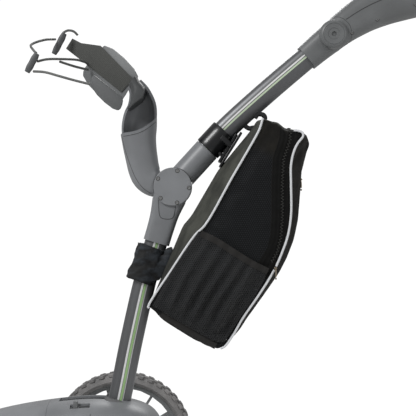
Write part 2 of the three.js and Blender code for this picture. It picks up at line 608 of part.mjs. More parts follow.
const BAY = { front: -286, back: -146, edge: 244 };
const FOLD_SLOT_FRONT = -128;
const FOLD_SLOT_HALF = TUBE_WIDTH / 2 + 2;
const LATCH_Z = 284;
const baySpace = (gap) => {
  const middle = (BAY.front + BAY.back) / 2;
  return block(BAY.back - BAY.front + 2 * gap, 400, 100, [middle, 0, BAY.edge + 50 - gap]);
};
const foldSlot = () => {
  const middle = (MAST_PIN[0] + FOLD_SLOT_FRONT) / 2;
  return block(MAST_PIN[0] - FOLD_SLOT_FRONT, 2 * FOLD_SLOT_HALF, 140, [middle, 0, 290]);
};
const latchSlot = () => block(37, 13, 24, [-84, -52, LATCH_Z + 7.5]);
function chassis() {
  const shell = cut(housingSweep(0), housingSweep(-HOUSING_WALL));
  const above = block(900, 400, 300, [-180, 0, SPLIT_Z + 150]);
  const below = block(900, 400, 300, [-180, 0, SPLIT_Z - 150 - GAP]);
  const axleHole = rodY(AXLE_TUBE_R + GAP, [REAR_AXLE_X, REAR_WHEEL_R], -THROUGH, THROUGH);
  const forkSpace = block(60, 40, 60, [-436, 0, 176]);
  const lower = cut(common(shell, below), axleHole, forkSpace);
  place("lower_housing", join(lower, brakeLugs()), DARK_GREY_PLASTIC);
  const slots = [baySpace(GAP), foldSlot(), latchSlot(), forkSpace];
  const upper = cut(common(shell, above), ...slots, bootSolid(GAP), ovalSweep(mastPath, GAP, 6));
  place("upper_housing", upper, GREY_PLASTIC);
  place("bay_lid", common(shell, baySpace(0)), GREY_PLASTIC);
}

// The mast's foot turns on a pin between the cheeks of a boot fixed to the housing. The boot is open at the
// front, so that the mast can fold forwards.
const BOOT_FOOT = [-42, 205];
const BOOT_TOP = [-17, 294];
const bootSolid = (grow) =>
  sweep(
    new THREE.LineCurve3(point(BOOT_FOOT), point(BOOT_TOP)),
    [15.5, 11.5, 7.5, 3].map((wall) => TUBE_DEPTH / 2 + wall + grow),
    [74 + grow, 68 + grow, 50 + grow, 23 + grow],
    { squareness: 3.2, around: 16, steps: 3 },
  );
function mastBoot() {
  const half = TUBE_WIDTH / 2 + GAP;
  const turning = rodY(32, MAST_PIN, -half, half);
  const front = plate([[-200, 150], [-200, 400], [12, 400], MAST_PIN, [-36, 150]], -half, half);
  const bore = rodY(MAST_PIN_R + CLEAR, MAST_PIN, -THROUGH, THROUGH);
  place("mast_boot", cut(bootSolid(0), ovalSweep(mastPath, GAP, 6), turning, front, bore), GREY_PLASTIC);
  place("mast_pin", rodY(MAST_PIN_R, MAST_PIN, -TUBE_WIDTH / 2 - 14, TUBE_WIDTH / 2 + 14), STEEL);
}

function lidLatch() {
  place("fold_lock_slide", block(8, 12, 15, [-92, -52, LATCH_Z + 5.5]), DARK_GREY_PLASTIC);
}

// ---------------------------------------------------------------- wheels
function wheel(names, radius, width, y, [x, z], { spokes, hubR }) {
  const half = width / 2;
  const tyreProfile = [
    [radius, -half * 0.4],
    [radius, half * 0.4],
    [radius - 7, half * 0.9],
    [radius - 16, half],
    [radius - 24, half * 0.5],
    [radius - 24, -half * 0.5],
    [radius - 16, -half],
    [radius - 7, -half * 0.9],
  ];
  place(names.tyre, ring(tyreProfile, 28), RUBBER, [x, y, z]);
  const rimR = radius - 24 - GAP;
  const band = (outer, inner, y) => [[outer, -y], [outer, y], [inner, y], [inner, -y]];
  const rimRing = ring(band(rimR, rimR - 9, half * 0.42), 28);
  let rim = join(rimRing, ring(band(hubR, AXLE_R + CLEAR, half * 0.8), 20));
  for (let i = 0; i < spokes.count; i++) {
    const turn = (2 * Math.PI * i) / spokes.count + spokes.start;
    const long = rimR - 4 - (AXLE_R + 4);
    const middle = (rimR - 4 + AXLE_R + 4) / 2;
    for (const [angle, thick] of [[turn, spokes.thick], [turn + spokes.lag, spokes.thin]]) {
      const spoke = new THREE.BoxGeometry(long, half * 0.6, thick)
        .translate(middle, 0, 0)
        .rotateY(-angle);
      rim = join(rim, spoke);
    }
  }
  place(names.rim, rim, DARK_GREY_PLASTIC, [x, y, z]);
}

function rearWheels() {
  for (const [side, word] of [[-1, "near"], [1, "far"]]) {
    const y = (side * REAR_TRACK) / 2;
    wheel(
      { tyre: `rear_${word}_tyre`, rim: `rear_${word}_rim` },
      REAR_WHEEL_R,
      TYRE_WIDTH,
      y,
      [REAR_AXLE_X, REAR_WHEEL_R],
      { hubR: 27, spokes: { count: 5, start: 0.55, lag: 0.46, thick: 12, thin: 5 } },
    );
    const profile = [[0, 25], [24, 25], [22, 31], [12, 34], [0, 34.5]];
    const cap = new THREE.LatheGeometry(profile.map(([r, a]) => new THREE.Vector2(r, a)), 20);
    if (side < 0) cap.rotateZ(Math.PI);
    place(`rear_${word}_hub_cap`, cap, BLACK_PLASTIC, [REAR_AXLE_X, y, REAR_WHEEL_R]);
  }
}

function rearAxle() {
  const reach = REAR_TRACK / 2 + TYRE_WIDTH * 0.4;
  const at = [REAR_AXLE_X, REAR_WHEEL_R];
  place("rear_axle", rodY(AXLE_R, at, -reach, reach), STEEL);
  for (const [side, name] of [[-1, "near_axle_tube"], [1, "far_axle_tube"]]) {
    const span = spanOn(side, 40, REAR_TRACK / 2 - TYRE_WIDTH * 0.4 - 4);
    const bore = rodY(AXLE_R + CLEAR, at, -REAR_TRACK, REAR_TRACK);
    place(name, cut(rodY(AXLE_TUBE_R, at, ...span, 16), bore), DARK_GREY_PLASTIC);
  }
}

function frontWheel() {
  const at = [FRONT_AXLE_X, FRONT_WHEEL_R];
  wheel(
    { tyre: "front_tyre", rim: "front_rim" },
    FRONT_WHEEL_R,
    FRONT_TYRE_WIDTH,
    0,
    at,
    { hubR: 24, spokes: { count: 5, start: 0.55, lag: 0.46, thick: 10, thin: 5 } },
  );
  const inside = FRONT_TYRE_WIDTH / 2 + 5;
  const fromAxle = (x, z) => [at[0] + x, at[1] + z];
  const armLine = [
    fromAxle(-18, 0), fromAxle(-13, -14), fromAxle(0, -20), fromAxle(14, -16), fromAxle(54, 28),
    [-452, 168], [-428, 176], [-428, 210], [-462, 214], fromAxle(30, 74),
  ];
  const arms = [-1, 1].map((side) => plate(armLine, ...spanOn(side, inside, inside + 9), { smooth: 24 }));
  const crownBlock = block(40, 2 * inside + 16, 34, [-437, 0, 192]);
  const stem = block(36, 38, 30, [-424, 0, 180]);
  const tyreSpace = rodY(FRONT_WHEEL_R + 6, at, -inside, inside, 32);
  const bore = rodY(AXLE_R + CLEAR, at, -100, 100);
  const housing = housingSweep(GAP);
  const nose = cut(stem, housingSweep(-HOUSING_WALL - 20), block(80, 80, 80, [-360, 0, 180]));
  const fork = join(...arms, cut(crownBlock, housing), nose);
  place("front_fork", cut(fork, tyreSpace, bore, housing), DARK_GREY_PLASTIC);
  place("front_axle", rodY(AXLE_R, at, -inside - 13, inside + 13), STEEL);
}

// ---------------------------------------------------------------- lower golf bag cradle and brake
function lowerCradle() {
  const lean = THREE.MathUtils.degToRad(22);
  const [r, thick, open] = [112, 11, 0.28];
  const arc = new THREE.Shape();
  arc.absarc(0, 0, r + thick, -Math.PI / 2 - open, Math.PI / 2 + open, false);
  arc.absarc(0, 0, r, Math.PI / 2 + open, -Math.PI / 2 - open, true);
  const yoke = new THREE.ExtrudeGeometry(arc, { depth: 38, bevelEnabled: false, curveSegments: 14 })
    .translate(0, 0, -19)
    .rotateY(lean)
    .translate(-435, 0, 300);
  const post = plate([[-338, 226], [-304, 244], [-304, 262], [-316, 284], [-344, 290]], -26, 26);
  const restLine = [
    [-515, 268], [-447, 228], [-404, 214], [-352, 234], [-398, 240], [-440, 242], [-503, 278], [-511, 298],
    [-523, 296],
  ];
  const tyreSpace = rodY(FRONT_WHEEL_R + 12, [FRONT_AXLE_X, FRONT_WHEEL_R], -60, 60, 32);
  place("lower_cradle", cut(join(yoke, post), housingSweep(GAP)), DARK_GREY_PLASTIC);
  const rest = cut(plate(restLine, -34, 34), housingSweep(GAP), post, tyreSpace);
  place("base_rest", rest, DARK_GREY_PLASTIC);
}
function brake() {
  const pedalLine = [[76, 178], [88, 177], [92, 190], [122, 206], [120, 213], [84, 197], [76, 190]];
  place("brake_pedal", cut(plate(pedalLine, -PEDAL_HALF, PEDAL_HALF), brakeBore()), BLACK_PLASTIC);
  place("brake_pin", rodY(BRAKE_PIN_R, BRAKE_PIN, -PEDAL_HALF - 7, PEDAL_HALF + 7), STEEL);
}
mastTubes();
hub();
upperSleeve();
collar();
bag();
pocket();
bagStrap();
topLoop();
zipPulls();
bracketArm();
cradle();
cords();
handle();
handleBar();
handlePivot();
chassis();
mastBoot();
lidLatch();
rearWheels();
rearAxle();
frontWheel();
lowerCradle();
brake();

export default cart;
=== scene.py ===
import json
import math

import bmesh
import bpy
from mathutils import Matrix, Vector, noise
from mathutils.bvhtree import BVHTree
from mathutils.geometry import intersect_point_line


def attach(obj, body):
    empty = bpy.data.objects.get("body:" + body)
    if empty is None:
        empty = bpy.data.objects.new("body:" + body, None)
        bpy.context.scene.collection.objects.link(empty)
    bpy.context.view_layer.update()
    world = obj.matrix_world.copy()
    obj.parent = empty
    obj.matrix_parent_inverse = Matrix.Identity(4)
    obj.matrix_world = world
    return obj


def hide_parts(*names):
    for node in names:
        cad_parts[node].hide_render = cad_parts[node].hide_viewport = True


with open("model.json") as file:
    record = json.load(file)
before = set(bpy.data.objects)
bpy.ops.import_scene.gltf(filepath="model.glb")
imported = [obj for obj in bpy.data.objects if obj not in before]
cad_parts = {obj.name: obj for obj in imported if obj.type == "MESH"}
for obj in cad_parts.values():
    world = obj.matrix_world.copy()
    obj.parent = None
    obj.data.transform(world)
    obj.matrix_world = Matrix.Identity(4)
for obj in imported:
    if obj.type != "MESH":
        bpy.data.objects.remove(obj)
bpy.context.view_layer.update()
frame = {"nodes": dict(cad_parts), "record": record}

# A golf push cart with a soft accessory bag. Metres: the front wheel is towards -X, the handle
# towards +X, and -Y is the near side. Points in the middle plane are (x, z).
RECORD = frame["record"]
BODY_OF = {node: body for body, nodes in RECORD["behaviour"]["bodies"].items() for node in nodes}
UP_Y = Vector((0, 1, 0))
NEAR = -1
FAR = 1

# ---------------------------------------------------------------- sizes and places, as in the CAD
MAST_LINE = [(-0.031, 0.229), (-0.016, 0.285), (0.008, 0.403), (0.034, 0.517), (0.055, 0.59), (0.07, 0.64)]
TUBE_DEPTH = 0.0215
TUBE_WIDTH = 0.017
TUBE_SQUARENESS = 2.4
HUB = (0.087, 0.695)
HUB_R = 0.036
HUB_CHEEK_IN = 0.017
HUB_CHEEK_OUT = 0.027
UPPER_ANGLE = math.radians(47.6)
SLEEVE_R = 0.024
COLLAR_R = 0.026
COLLAR_LENGTH = 0.047
PLATE_ANGLE = math.radians(58)
PLATE_MIDDLE = (0.191, 0.768)
HOOK_OUT = 0.0059

HANDLE_PIVOT = (0.389, 0.98)
HANDLE_ANGLE = 0.66
HANDLE_SEAM_R = 0.034
HANDLE_LINE = [
    (0.34, 0.939), (0.364, 0.9595), HANDLE_PIVOT, (0.42, 1.004), (0.458, 1.028), (0.5, 1.046),
    (0.545, 1.057), (0.59, 1.062), (0.6465, 1.062),
]
HANDLE_DEPTHS = [0.025, 0.027, 0.0295, 0.034, 0.038, 0.04, 0.038, 0.032, 0.022]
HANDLE_WIDTHS = [0.0225, 0.026, 0.033, 0.033, 0.036, 0.04, 0.044, 0.044, 0.034]
BAR_AT = (0.6425, 1.062)
BAR_R = 0.013
GRIP_R = 0.0175
GRIP_LENGTH = 0.118
BAR_HALF = 0.17

BAG_HALF = 0.1
BAG_BACK = [
    (0.253, 0.818), (0.249, 0.804), (0.245, 0.794), (0.197, 0.71), (0.148, 0.624), (0.13, 0.606),
    (0.086, 0.541), (0.045, 0.476),
]
BAG_BOTTOM = [(0.066, 0.459), (0.092, 0.443), (0.132, 0.418), (0.146, 0.412), (0.17, 0.398)]
BAG_LOWER_FRONT = [
    (0.184, 0.404), (0.198, 0.423), (0.217, 0.456), (0.244, 0.495), (0.261, 0.521), (0.274, 0.543),
    (0.286, 0.57),
]
BAG_UPPER_FRONT = [
    (0.298, 0.604), (0.304, 0.642), (0.304, 0.699), (0.304, 0.733), (0.309, 0.757), (0.316, 0.772),
    (0.326, 0.786),
]
BAG_TOP = [(0.323, 0.795), (0.302, 0.796), (0.295, 0.794), (0.283, 0.807), (0.269, 0.813)]
BAG_OUTLINE = BAG_BACK + BAG_BOTTOM + BAG_LOWER_FRONT + BAG_UPPER_FRONT + BAG_TOP
BAG_FOOT = Vector((0.045, 0.476))
BAG_LONG = Vector((0.54, 0.84))
BACK_CROWN = [0, 0.008, 0.018, 0.028, 0.035, 0.033, 0.027, 0.02, 0.008]
FRONT_CROWN = [0, 0.003, 0.005, 0.007, 0.011, 0.013, 0.017, 0.023, 0.024]
ZIP_LINE = [
    (0.262, 0.546), (0.279, 0.575), (0.286, 0.604), (0.288, 0.642), (0.288, 0.699), (0.29, 0.742),
    (0.302, 0.778), (0.306, 0.83),
]
LID_FOOT = (0.258, 0.538)
LID_SPACE = [(0.278, 0.53), LID_FOOT, *ZIP_LINE, (0.4, 0.83), (0.4, 0.48)]

ARM_LINE = [
    (0.07, 0.6945), (0.05, 0.702), (0.038, 0.713), (0.032, 0.728), (0.0275, 0.75), (0.0235, 0.775),
    (0.0215, 0.801), (0.023, 0.823), (0.027, 0.85), (0.022, 0.876), (0.0125, 0.893),
]
ARM_DEPTHS = [0.0215, 0.026, 0.029, 0.03, 0.031, 0.0325, 0.0345, 0.033, 0.0285, 0.022, 0.016]
ARM_WIDTHS = [0.024, 0.026, 0.028, 0.032, 0.037, 0.042, 0.046, 0.047, 0.045, 0.041, 0.037]
ARM_INSIDE = [(0.036, 0.717), *ARM_LINE[3:], (0.005, 0.906)]
ARM_WALL = 0.0035
WING_FOOT_X = 0.02
WING_LEAN = 0.65
CORD_R = 0.0024
CORDS = {
    "lower_cord": [(-0.063, -0.076, 0.882), (-0.094, -0.074, 0.89), (-0.122, -0.072, 0.898), (-0.148, -0.06, 0.906), (-0.171, -0.047, 0.909)],
    "middle_cord": [(-0.165, -0.036, 0.929), (-0.15, -0.02, 0.935), (-0.126, 0, 0.938), (-0.1, 0.035, 0.941), (-0.086, 0.076, 0.941)],
    "inner_cord": [(-0.128, 0, 0.933), (-0.104, 0.032, 0.928), (-0.082, 0.07, 0.926)],
    "upper_cord": [(-0.147, 0.078, 0.987), (-0.164, 0.04, 0.98), (-0.184, 0.005, 0.965), (-0.177, -0.01, 0.954), (-0.168, -0.034, 0.945)],
    "toggle_loop": [(-0.133, 0.088, 1.001), (-0.124, 0.09, 1.006), (-0.113, 0.094, 1.005), (-0.105, 0.098, 0.998)],
}

HOUSING_TOP = [
    (-0.436, 0.188), (-0.4, 0.214), (-0.33, 0.245), (-0.242, 0.272), (-0.147, 0.289), (-0.052, 0.296),
    (0.02, 0.286), (0.05, 0.27), (0.072, 0.236),
]
HOUSING_BOTTOM = [0.168, 0.14, 0.122, 0.114, 0.11, 0.108, 0.112, 0.124, 0.166]
HOUSING_WIDTHS = [0.03, 0.042, 0.056, 0.072, 0.084, 0.088, 0.086, 0.078, 0.06]
HOUSING_WALL = 0.004
SPLIT_Z = 0.196
MAST_PIN = (-0.026, 0.25)
BOOT_LINE = [(-0.042, 0.205), (-0.017, 0.294)]
BOOT_DEPTHS = [0.037, 0.033, 0.029, 0.0245]
BOOT_WIDTHS = [0.084, 0.082, 0.066, 0.03]

REAR_WHEEL_R = 0.152
REAR_AXLE = (-0.03, 0.152)
FRONT_WHEEL_R = 0.11
FRONT_AXLE = (-0.55, 0.11)


# ---------------------------------------------------------------- lines and sizes along them
def smooth_line(points, per_span=8):
    """Points along the centripetal Catmull-Rom curve through the given ones, as 3-D vectors."""
    given = [Vector((p[0], 0, p[1])) if len(p) == 2 else Vector(p) for p in points]
    ends = [2 * given[0] - given[1], *given, 2 * given[-1] - given[-2]]
    line = []
    for a, b, c, d in zip(ends, ends[1:], ends[2:], ends[3:]):
        knots = [0]
        for p, q in ((a, b), (b, c), (c, d)):
            knots.append(knots[-1] + (q - p).length ** 0.5)
        for step in range(per_span):
            t = knots[1] + (knots[2] - knots[1]) * step / per_span
            ab = between(a, b, knots[0], knots[1], t)
            bc = between(b, c, knots[1], knots[2], t)
            cd = between(c, d, knots[2], knots[3], t)
            line.append(between(between(ab, bc, knots[0], knots[2], t), between(bc, cd, knots[1], knots[3], t), knots[1], knots[2], t))
    return [*line, given[-1]]


def between(p, q, start, end, t):
    """p at start, q at end, and in line between them at t."""
    return p + (q - p) * ((t - start) / (end - start))


def line_length(points):
    return sum((q - p).length for p, q in zip(points, points[1:]))


def resampled(points, count):
    """The same line in that many even steps."""
    reach = [0]
    for p, q in zip(points, points[1:]):
        reach.append(reach[-1] + (q - p).length)
    out = []
    span = 0
    for step in range(count + 1):
        want = reach[-1] * step / count
        while span < len(points) - 2 and reach[span + 1] < want:
            span += 1
        out.append(between(points[span], points[span + 1], reach[span], reach[span + 1], want))
    return out


def size_at(sizes, t):
    """A size that runs smoothly through the values given at even steps from 0 to 1."""
    if isinstance(sizes, (int, float)):
        return sizes
    at = min(max(t, 0), 1) * (len(sizes) - 1)
    i = min(int(at), len(sizes) - 2)
    f = at - i
    a, b, c, d = (sizes[min(max(k, 0), len(sizes) - 1)] for k in (i - 1, i, i + 1, i + 2))
    return b + 0.5 * f * (c - a + f * (2 * a - 5 * b + 4 * c - d + f * (3 * (b - c) + d - a)))


def away(at, angle, distance):
    """The point that far from (x, z) at that angle above +X."""
    return (at[0] + math.cos(angle) * distance, at[1] + math.sin(angle) * distance)


def in_outline(outline, x, z):
    """True if (x, z) lies inside the closed outline."""
    inside = False
    for (ax, az), (bx, bz) in zip(outline, [*outline[1:], outline[0]]):
        if (az > z) != (bz > z) and x < (bx - ax) * (z - az) / (bz - az) + ax:
            inside = not inside
    return inside


# ---------------------------------------------------------------- shapes, each a bmesh
def new_shape():
    """An empty bmesh whose points know how far along and across their piece they are."""
    bm = bmesh.new()
    bm.verts.layers.float.new("along")
    bm.verts.layers.float.new("across")
    return bm


def section(bm, at, first, second, along, squareness=2.0, around=24):
    """One closed loop of a loft about a point, reaching first and second to its sides."""
    made = bmesh.ops.create_circle(bm, cap_ends=False, radius=1, segments=around)["verts"]
    layers = bm.verts.layers.float
    blunt = lambda v: math.copysign(abs(v) ** (2 / squareness), v) if abs(v) > 1e-6 else 0
    for vertex in made:
        a, b = blunt(vertex.co.x), blunt(vertex.co.y)
        vertex.co = at + first * a + second * b
        vertex[layers["along"]] = along
        vertex[layers["across"]] = a
    return list({edge for vertex in made for edge in vertex.link_edges})


def skinned(bm, sections):
    """Joins a loft's sections and closes its two ends."""
    for one, other in zip(sections, sections[1:]):
        bmesh.ops.bridge_loops(bm, edges=one + other)
    for end in (sections[0], sections[-1]):
        bmesh.ops.contextual_create(bm, geom=end)
    bmesh.ops.recalc_face_normals(bm, faces=bm.faces)
    return bm


def loft(points, depths, widths, squareness=2.0, around=32, steps=24, upright=False, grow=0.0):
    """A closed bar along a line in the middle plane. Depths lie in that plane, and widths along Y."""
    bm = new_shape()
    line = resampled(smooth_line(points), steps) if len(points) > 2 else resampled(smooth_line(points, 1), steps)
    sections = []
    for i, at in enumerate(line):
        tangent = (line[min(i + 1, steps)] - line[max(i - 1, 0)]).normalized()
        normal = Vector((0, 0, 1)) if upright else Vector((-tangent.z, 0, tangent.x))
        t = i / steps
        first = normal * (size_at(depths, t) + grow)
        second = UP_Y * (size_at(widths, t) + grow)
        sections.append(section(bm, at, first, second, line_length(line[: i + 1]), squareness, around))
    return skinned(bm, sections)


def tube(points, radius, around=10, flat=1.0, side=None):
    """A cord along 3-D points. flat below 1 squashes it, and side then gives its wide direction."""
    bm = new_shape()
    sections = []
    across = side
    for i, at in enumerate(points):
        tangent = (points[min(i + 1, len(points) - 1)] - points[max(i - 1, 0)]).normalized()
        across = across or tangent.orthogonal()
        across = (across - tangent * across.dot(tangent)).normalized()
        out = tangent.cross(across)
        along = line_length(points[: i + 1])
        sections.append(section(bm, at, across * radius, out * radius * flat, along, 2 if flat == 1 else 6, around))
    return skinned(bm, sections)


def spun(profile, at, steps=48, closed=True):
    """A shape turned about the Y axis through (x, z), from a profile of (radius, y) points."""
    bm = new_shape()
    points = [bm.verts.new((r, y, 0)) for r, y in profile]
    pairs = list(zip(points, points[1:]))
    if closed:
        pairs.append((points[-1], points[0]))
    edges = [bm.edges.new(pair) for pair in pairs]
    bmesh.ops.spin(
        bm, geom=points + edges, cent=(0, 0, 0), axis=(0, 1, 0), dvec=(0, 0, 0),
        angle=2 * math.pi, steps=steps, use_merge=True, use_duplicate=False,
    )
    bmesh.ops.remove_doubles(bm, verts=bm.verts, dist=1e-6)
    bmesh.ops.recalc_face_normals(bm, faces=bm.faces)
    bmesh.ops.translate(bm, verts=bm.verts, vec=(at[0], 0, at[1]))
    return bm


def disc(radius, at, y0, y1, edge=0.0008, steps=48):
    """A solid disc or round bar about the Y axis, with its edges eased."""
    low, high = min(y0, y1), max(y0, y1)
    return spun(
        [(0, low), (radius - edge, low), (radius, low + edge), (radius, high - edge), (radius - edge, high), (0, high)],
        at, steps, closed=False,
    )


def slab(outline, y0, y1, edge=0.001, steps=1):
    """An outline of (x, z) points given a thickness along Y, with its edges eased."""
    bm = new_shape()
    face = bm.faces.new([bm.verts.new((x, min(y0, y1), z)) for x, z in outline])
    for _ in range(steps):
        made = bmesh.ops.extrude_face_region(bm, geom=[face])["geom"]
        face = next(part for part in made if isinstance(part, bmesh.types.BMFace))
        bmesh.ops.translate(bm, verts=face.verts, vec=(0, abs(y1 - y0) / steps, 0))
    bmesh.ops.recalc_face_normals(bm, faces=bm.faces)
    return eased(bm, edge) if edge else bm


def block(size, at, turn=0.0, edge=0.001):
    """A box of that size about a 3-D point, turned about Y, with its edges eased."""
    bm = new_shape()
    place = Matrix.Translation(at) @ Matrix.Rotation(-turn, 4, "Y") @ Matrix.Diagonal((*size, 1))
    bmesh.ops.create_cube(bm, size=1, matrix=place)
    return eased(bm, edge) if edge else bm


def eased(bm, width, angle=35, segments=2):
    """Rounds the edges that turn by more than the angle."""
    limit = math.radians(angle)
    edges = [edge for edge in bm.edges if len(edge.link_faces) == 2 and edge.calc_face_angle() > limit]
    bmesh.ops.bevel(
        bm, geom=edges, offset=width, segments=segments, profile=0.5, affect="EDGES", material=-1,
        clamp_overlap=True,
    )
    return bm


def joined(*shapes):
    """Several shapes in one piece, left as separate closed skins."""
    mesh = bpy.data.meshes.new("joining")
    whole = new_shape()
    for shape in shapes:
        shape.to_mesh(mesh)
        whole.from_mesh(mesh)
    bpy.data.meshes.remove(mesh)
    return whole


def loose_object(bm):
    """A working object that is taken away again."""
    mesh = bpy.data.meshes.new("working")
    bm.to_mesh(mesh)
    made = bpy.data.objects.new("working", mesh)
    bpy.context.scene.collection.objects.link(made)
    return made


def evaluated(obj):
    """The object's mesh with its modifiers applied, as a bmesh. The object is removed."""
    seen = obj.evaluated_get(bpy.context.evaluated_depsgraph_get())
    bm = bmesh.new()
    bm.from_mesh(seen.to_mesh())
    seen.to_mesh_clear()
    mesh = obj.data
    bpy.data.objects.remove(obj)
    bpy.data.meshes.remove(mesh)
    return bm


def carved(bm, *tools, operation="DIFFERENCE"):
    """The shape with the tools cut out of it, or joined to it, or kept to them."""
    body = loose_object(bm)
    cutters = [loose_object(tool) for tool in tools]
    for cutter in cutters:
        boolean = body.modifiers.new("carve", "BOOLEAN")
        boolean.object = cutter
        boolean.operation = operation
        boolean.solver = "EXACT"
    made = evaluated(body)
    for cutter in cutters:
        mesh = cutter.data
        bpy.data.objects.remove(cutter)
        bpy.data.meshes.remove(mesh)
    bmesh.ops.dissolve_degenerate(made, dist=1e-6, edges=made.edges)
    return made


class Skin:
    """The surface of a shape, to lay seams and fittings on."""

    def __init__(self, bm):
        self.tree = BVHTree.FromBMesh(bm)

    def at(self, x, z, side=NEAR, lift=0.0):
        """The point of the near or far side at (x, z), lifted off the surface."""
        hit, normal, _, _ = self.tree.ray_cast(Vector((x, side * 0.5, z)), -side * UP_Y)
        if hit is None:
            hit, normal, _, _ = self.tree.find_nearest(Vector((x, side * 0.1, z)))
        return hit + normal * lift

    def line(self, points, side=NEAR, lift=0.0, steps=8):
        """A smooth line through (x, z) points, laid on the surface."""
        return [self.at(p.x, p.z, side, lift) for p in smooth_line(points, steps)]


# ---------------------------------------------------------------- pieces
def piece(name, bm, finish, stands_for=(), like=None, sharp=38, edge=0.0):
    """Makes a shape an object that rides with the body of the CAD node it stands for or is like, and hides the nodes it
    stands for.
    """
    nodes = [stands_for] if isinstance(stands_for, str) else list(stands_for)
    mesh = bpy.data.meshes.new(name)
    limit = math.radians(sharp)
    for face in bm.faces:
        face.smooth = True
    for join in bm.edges:
        if len(join.link_faces) == 2 and join.calc_face_angle(0) > limit:
            join.smooth = False
    bm.to_mesh(mesh)
    bm.free()
    made = bpy.data.objects.new(name, mesh)
    bpy.context.scene.collection.objects.link(made)
    for one in finish if isinstance(finish, (list, tuple)) else [finish]:
        mesh.materials.append(one)
    if edge:
        rounding = made.modifiers.new("eased_edges", "BEVEL")
        rounding.width = edge
        rounding.segments = 2
        rounding.limit_method = "ANGLE"
        rounding.angle_limit = limit
        rounding.harden_normals = True
    model = like or nodes[0]
    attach(made, BODY_OF[model])
    if nodes:
        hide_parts(*nodes)
    return made


def refined(node, finish, edge=0.0008, sharp=32):
    """A CAD node's own shape as a piece with smooth faces and eased edges."""
    bm = bmesh.new()
    bm.from_mesh(frame["nodes"][node].data)
    bmesh.ops.remove_doubles(bm, verts=bm.verts, dist=1e-5)
    bmesh.ops.dissolve_limit(bm, angle_limit=math.radians(1), verts=bm.verts, edges=bm.edges)
    return piece(f"{node}_piece", bm, finish, stands_for=node, sharp=sharp, edge=edge)


def seam(name, skin, points, like, side=NEAR, width=0.0005, steps=8):
    """A dark parting line laid on a skin."""
    return piece(name, tube(skin.line(points, side, 0, steps), width, around=6), SEAM, like=like)


# ---------------------------------------------------------------- materials
class Socket:
    """An output of a finish's nodes. Sums with it add Math nodes."""

    def __init__(self, finish, output):
        self.finish = finish
        self.output = output

    def math(self, operation, *values):
        return self.finish.node("Math", {"operation": operation}, dict(enumerate(values)))

    def __add__(self, other):
        return self.math("ADD", self, other)

    def __sub__(self, other):
        return self.math("SUBTRACT", self, other)

    def __rsub__(self, other):
        return self.math("SUBTRACT", other, self)

    def __mul__(self, other):
        return self.math("MULTIPLY", self, other)

    def __truediv__(self, other):
        return self.math("DIVIDE", self, other)

    __radd__ = __add__
    __rmul__ = __mul__

    def wave(self, length):
        """Runs smoothly from 0 to 1 and back over each length."""
        return self.math("COSINE", self * (2 * math.pi / length)) * 0.5 + 0.5

    def size(self):
        return self.math("ABSOLUTE", self)

    def step(self, start, end):
        """0 below start and 1 past end, or the other way round."""
        settings = {"interpolation_type": "SMOOTHSTEP"}
        low, high = min(start, end), max(start, end)
        ends = {"Value": self, "From Min": low, "From Max": high, "To Min": float(start > end), "To Max": float(start < end)}
        return self.finish.node("MapRange", settings, ends)


def colour(code):
    """A linear colour from its usual six-figure code."""
    parts = [int(code[i : i + 2], 16) / 255 for i in (0, 2, 4)]
    return (*(c / 12.92 if c <= 0.04045 else ((c + 0.055) / 1.055) ** 2.4 for c in parts), 1.0)


class Finish:
    """A material's nodes, built up from one Principled shader."""

    def __init__(self, name, **constants):
        self.material = bpy.data.materials.new(name)
        self.material.use_nodes = True
        self.tree = self.material.node_tree
        self.shader = self.tree.nodes["Principled BSDF"]
        for socket, value in constants.items():
            self.feed(self.shader.inputs[socket.replace("_", " ")], value)
        place = self.node("TexCoord", output="Object")
        self.place = place
        parts = self.node("SeparateXYZ", inputs={0: place}).output.node
        self.x, self.y, self.z = (Socket(self, output) for output in parts.outputs)

    def feed(self, socket, value):
        if isinstance(value, Socket):
            self.tree.links.new(value.output, socket)
        else:
            socket.default_value = value

    def node(self, kind, settings=None, inputs=None, output=0):
        """Adds a node: its settings first, then the values or links of its sockets."""
        made = self.tree.nodes.new("ShaderNode" + kind)
        for name, value in (settings or {}).items():
            setattr(made, name, value)
        for name, value in (inputs or {}).items():
            self.feed(made.inputs[name], value)
        return Socket(self, made.outputs[output])

    def noise(self, size, detail=2.0, stretch=(1, 1, 1)):
        """Cloudy values about 0.5, with features of that size in metres."""
        place = self.node("Mapping", inputs={"Vector": self.place, "Scale": stretch})
        return self.node("TexNoise", inputs={"Vector": place, "Scale": 1 / size, "Detail": detail})

    def attribute(self, name):
        return self.node("Attribute", {"attribute_name": name}, output="Fac")

    def mix(self, factor, first, second):
        """The first colour where factor is 0, and the second where it is 1."""
        return self.node("Mix", {"data_type": "RGBA"}, {0: factor, 6: first, 7: second}, output=2)

    def paint(self, value):
        self.feed(self.shader.inputs["Base Color"], value)

    def roughness(self, value):
        self.feed(self.shader.inputs["Roughness"], value)

    def relief(self, height, depth, strength=1.0):
        """Raises the surface by the height, 0 to 1, times a depth in metres."""
        bump = self.node("Bump", inputs={"Strength": strength, "Distance": depth, "Height": height})
        self.feed(self.shader.inputs["Normal"], bump)


def moulded_plastic(name, code, rough=0.45, grain=0.00006, coat=0.0):
    """Moulded plastic: a fine even grain, and colour and gloss that drift a little."""
    finish = Finish(name, Coat_Weight=coat, Coat_Roughness=0.12)
    drift = finish.noise(0.12, 3)
    fine = finish.noise(0.0009, 2)
    base = colour(code)
    darker = tuple(c * 0.86 for c in base[:3]) + (1.0,)
    lighter = tuple(min(1, c * 1.1) for c in base[:3]) + (1.0,)
    finish.paint(finish.mix(drift.step(0.35, 0.65), darker, lighter))
    if grain:
        finish.roughness(drift * 0.14 + fine * 0.08 + (rough - 0.11))
        finish.relief(fine, grain)
    else:
        finish.roughness(drift * 0.1 + (rough - 0.05))
    return finish.material


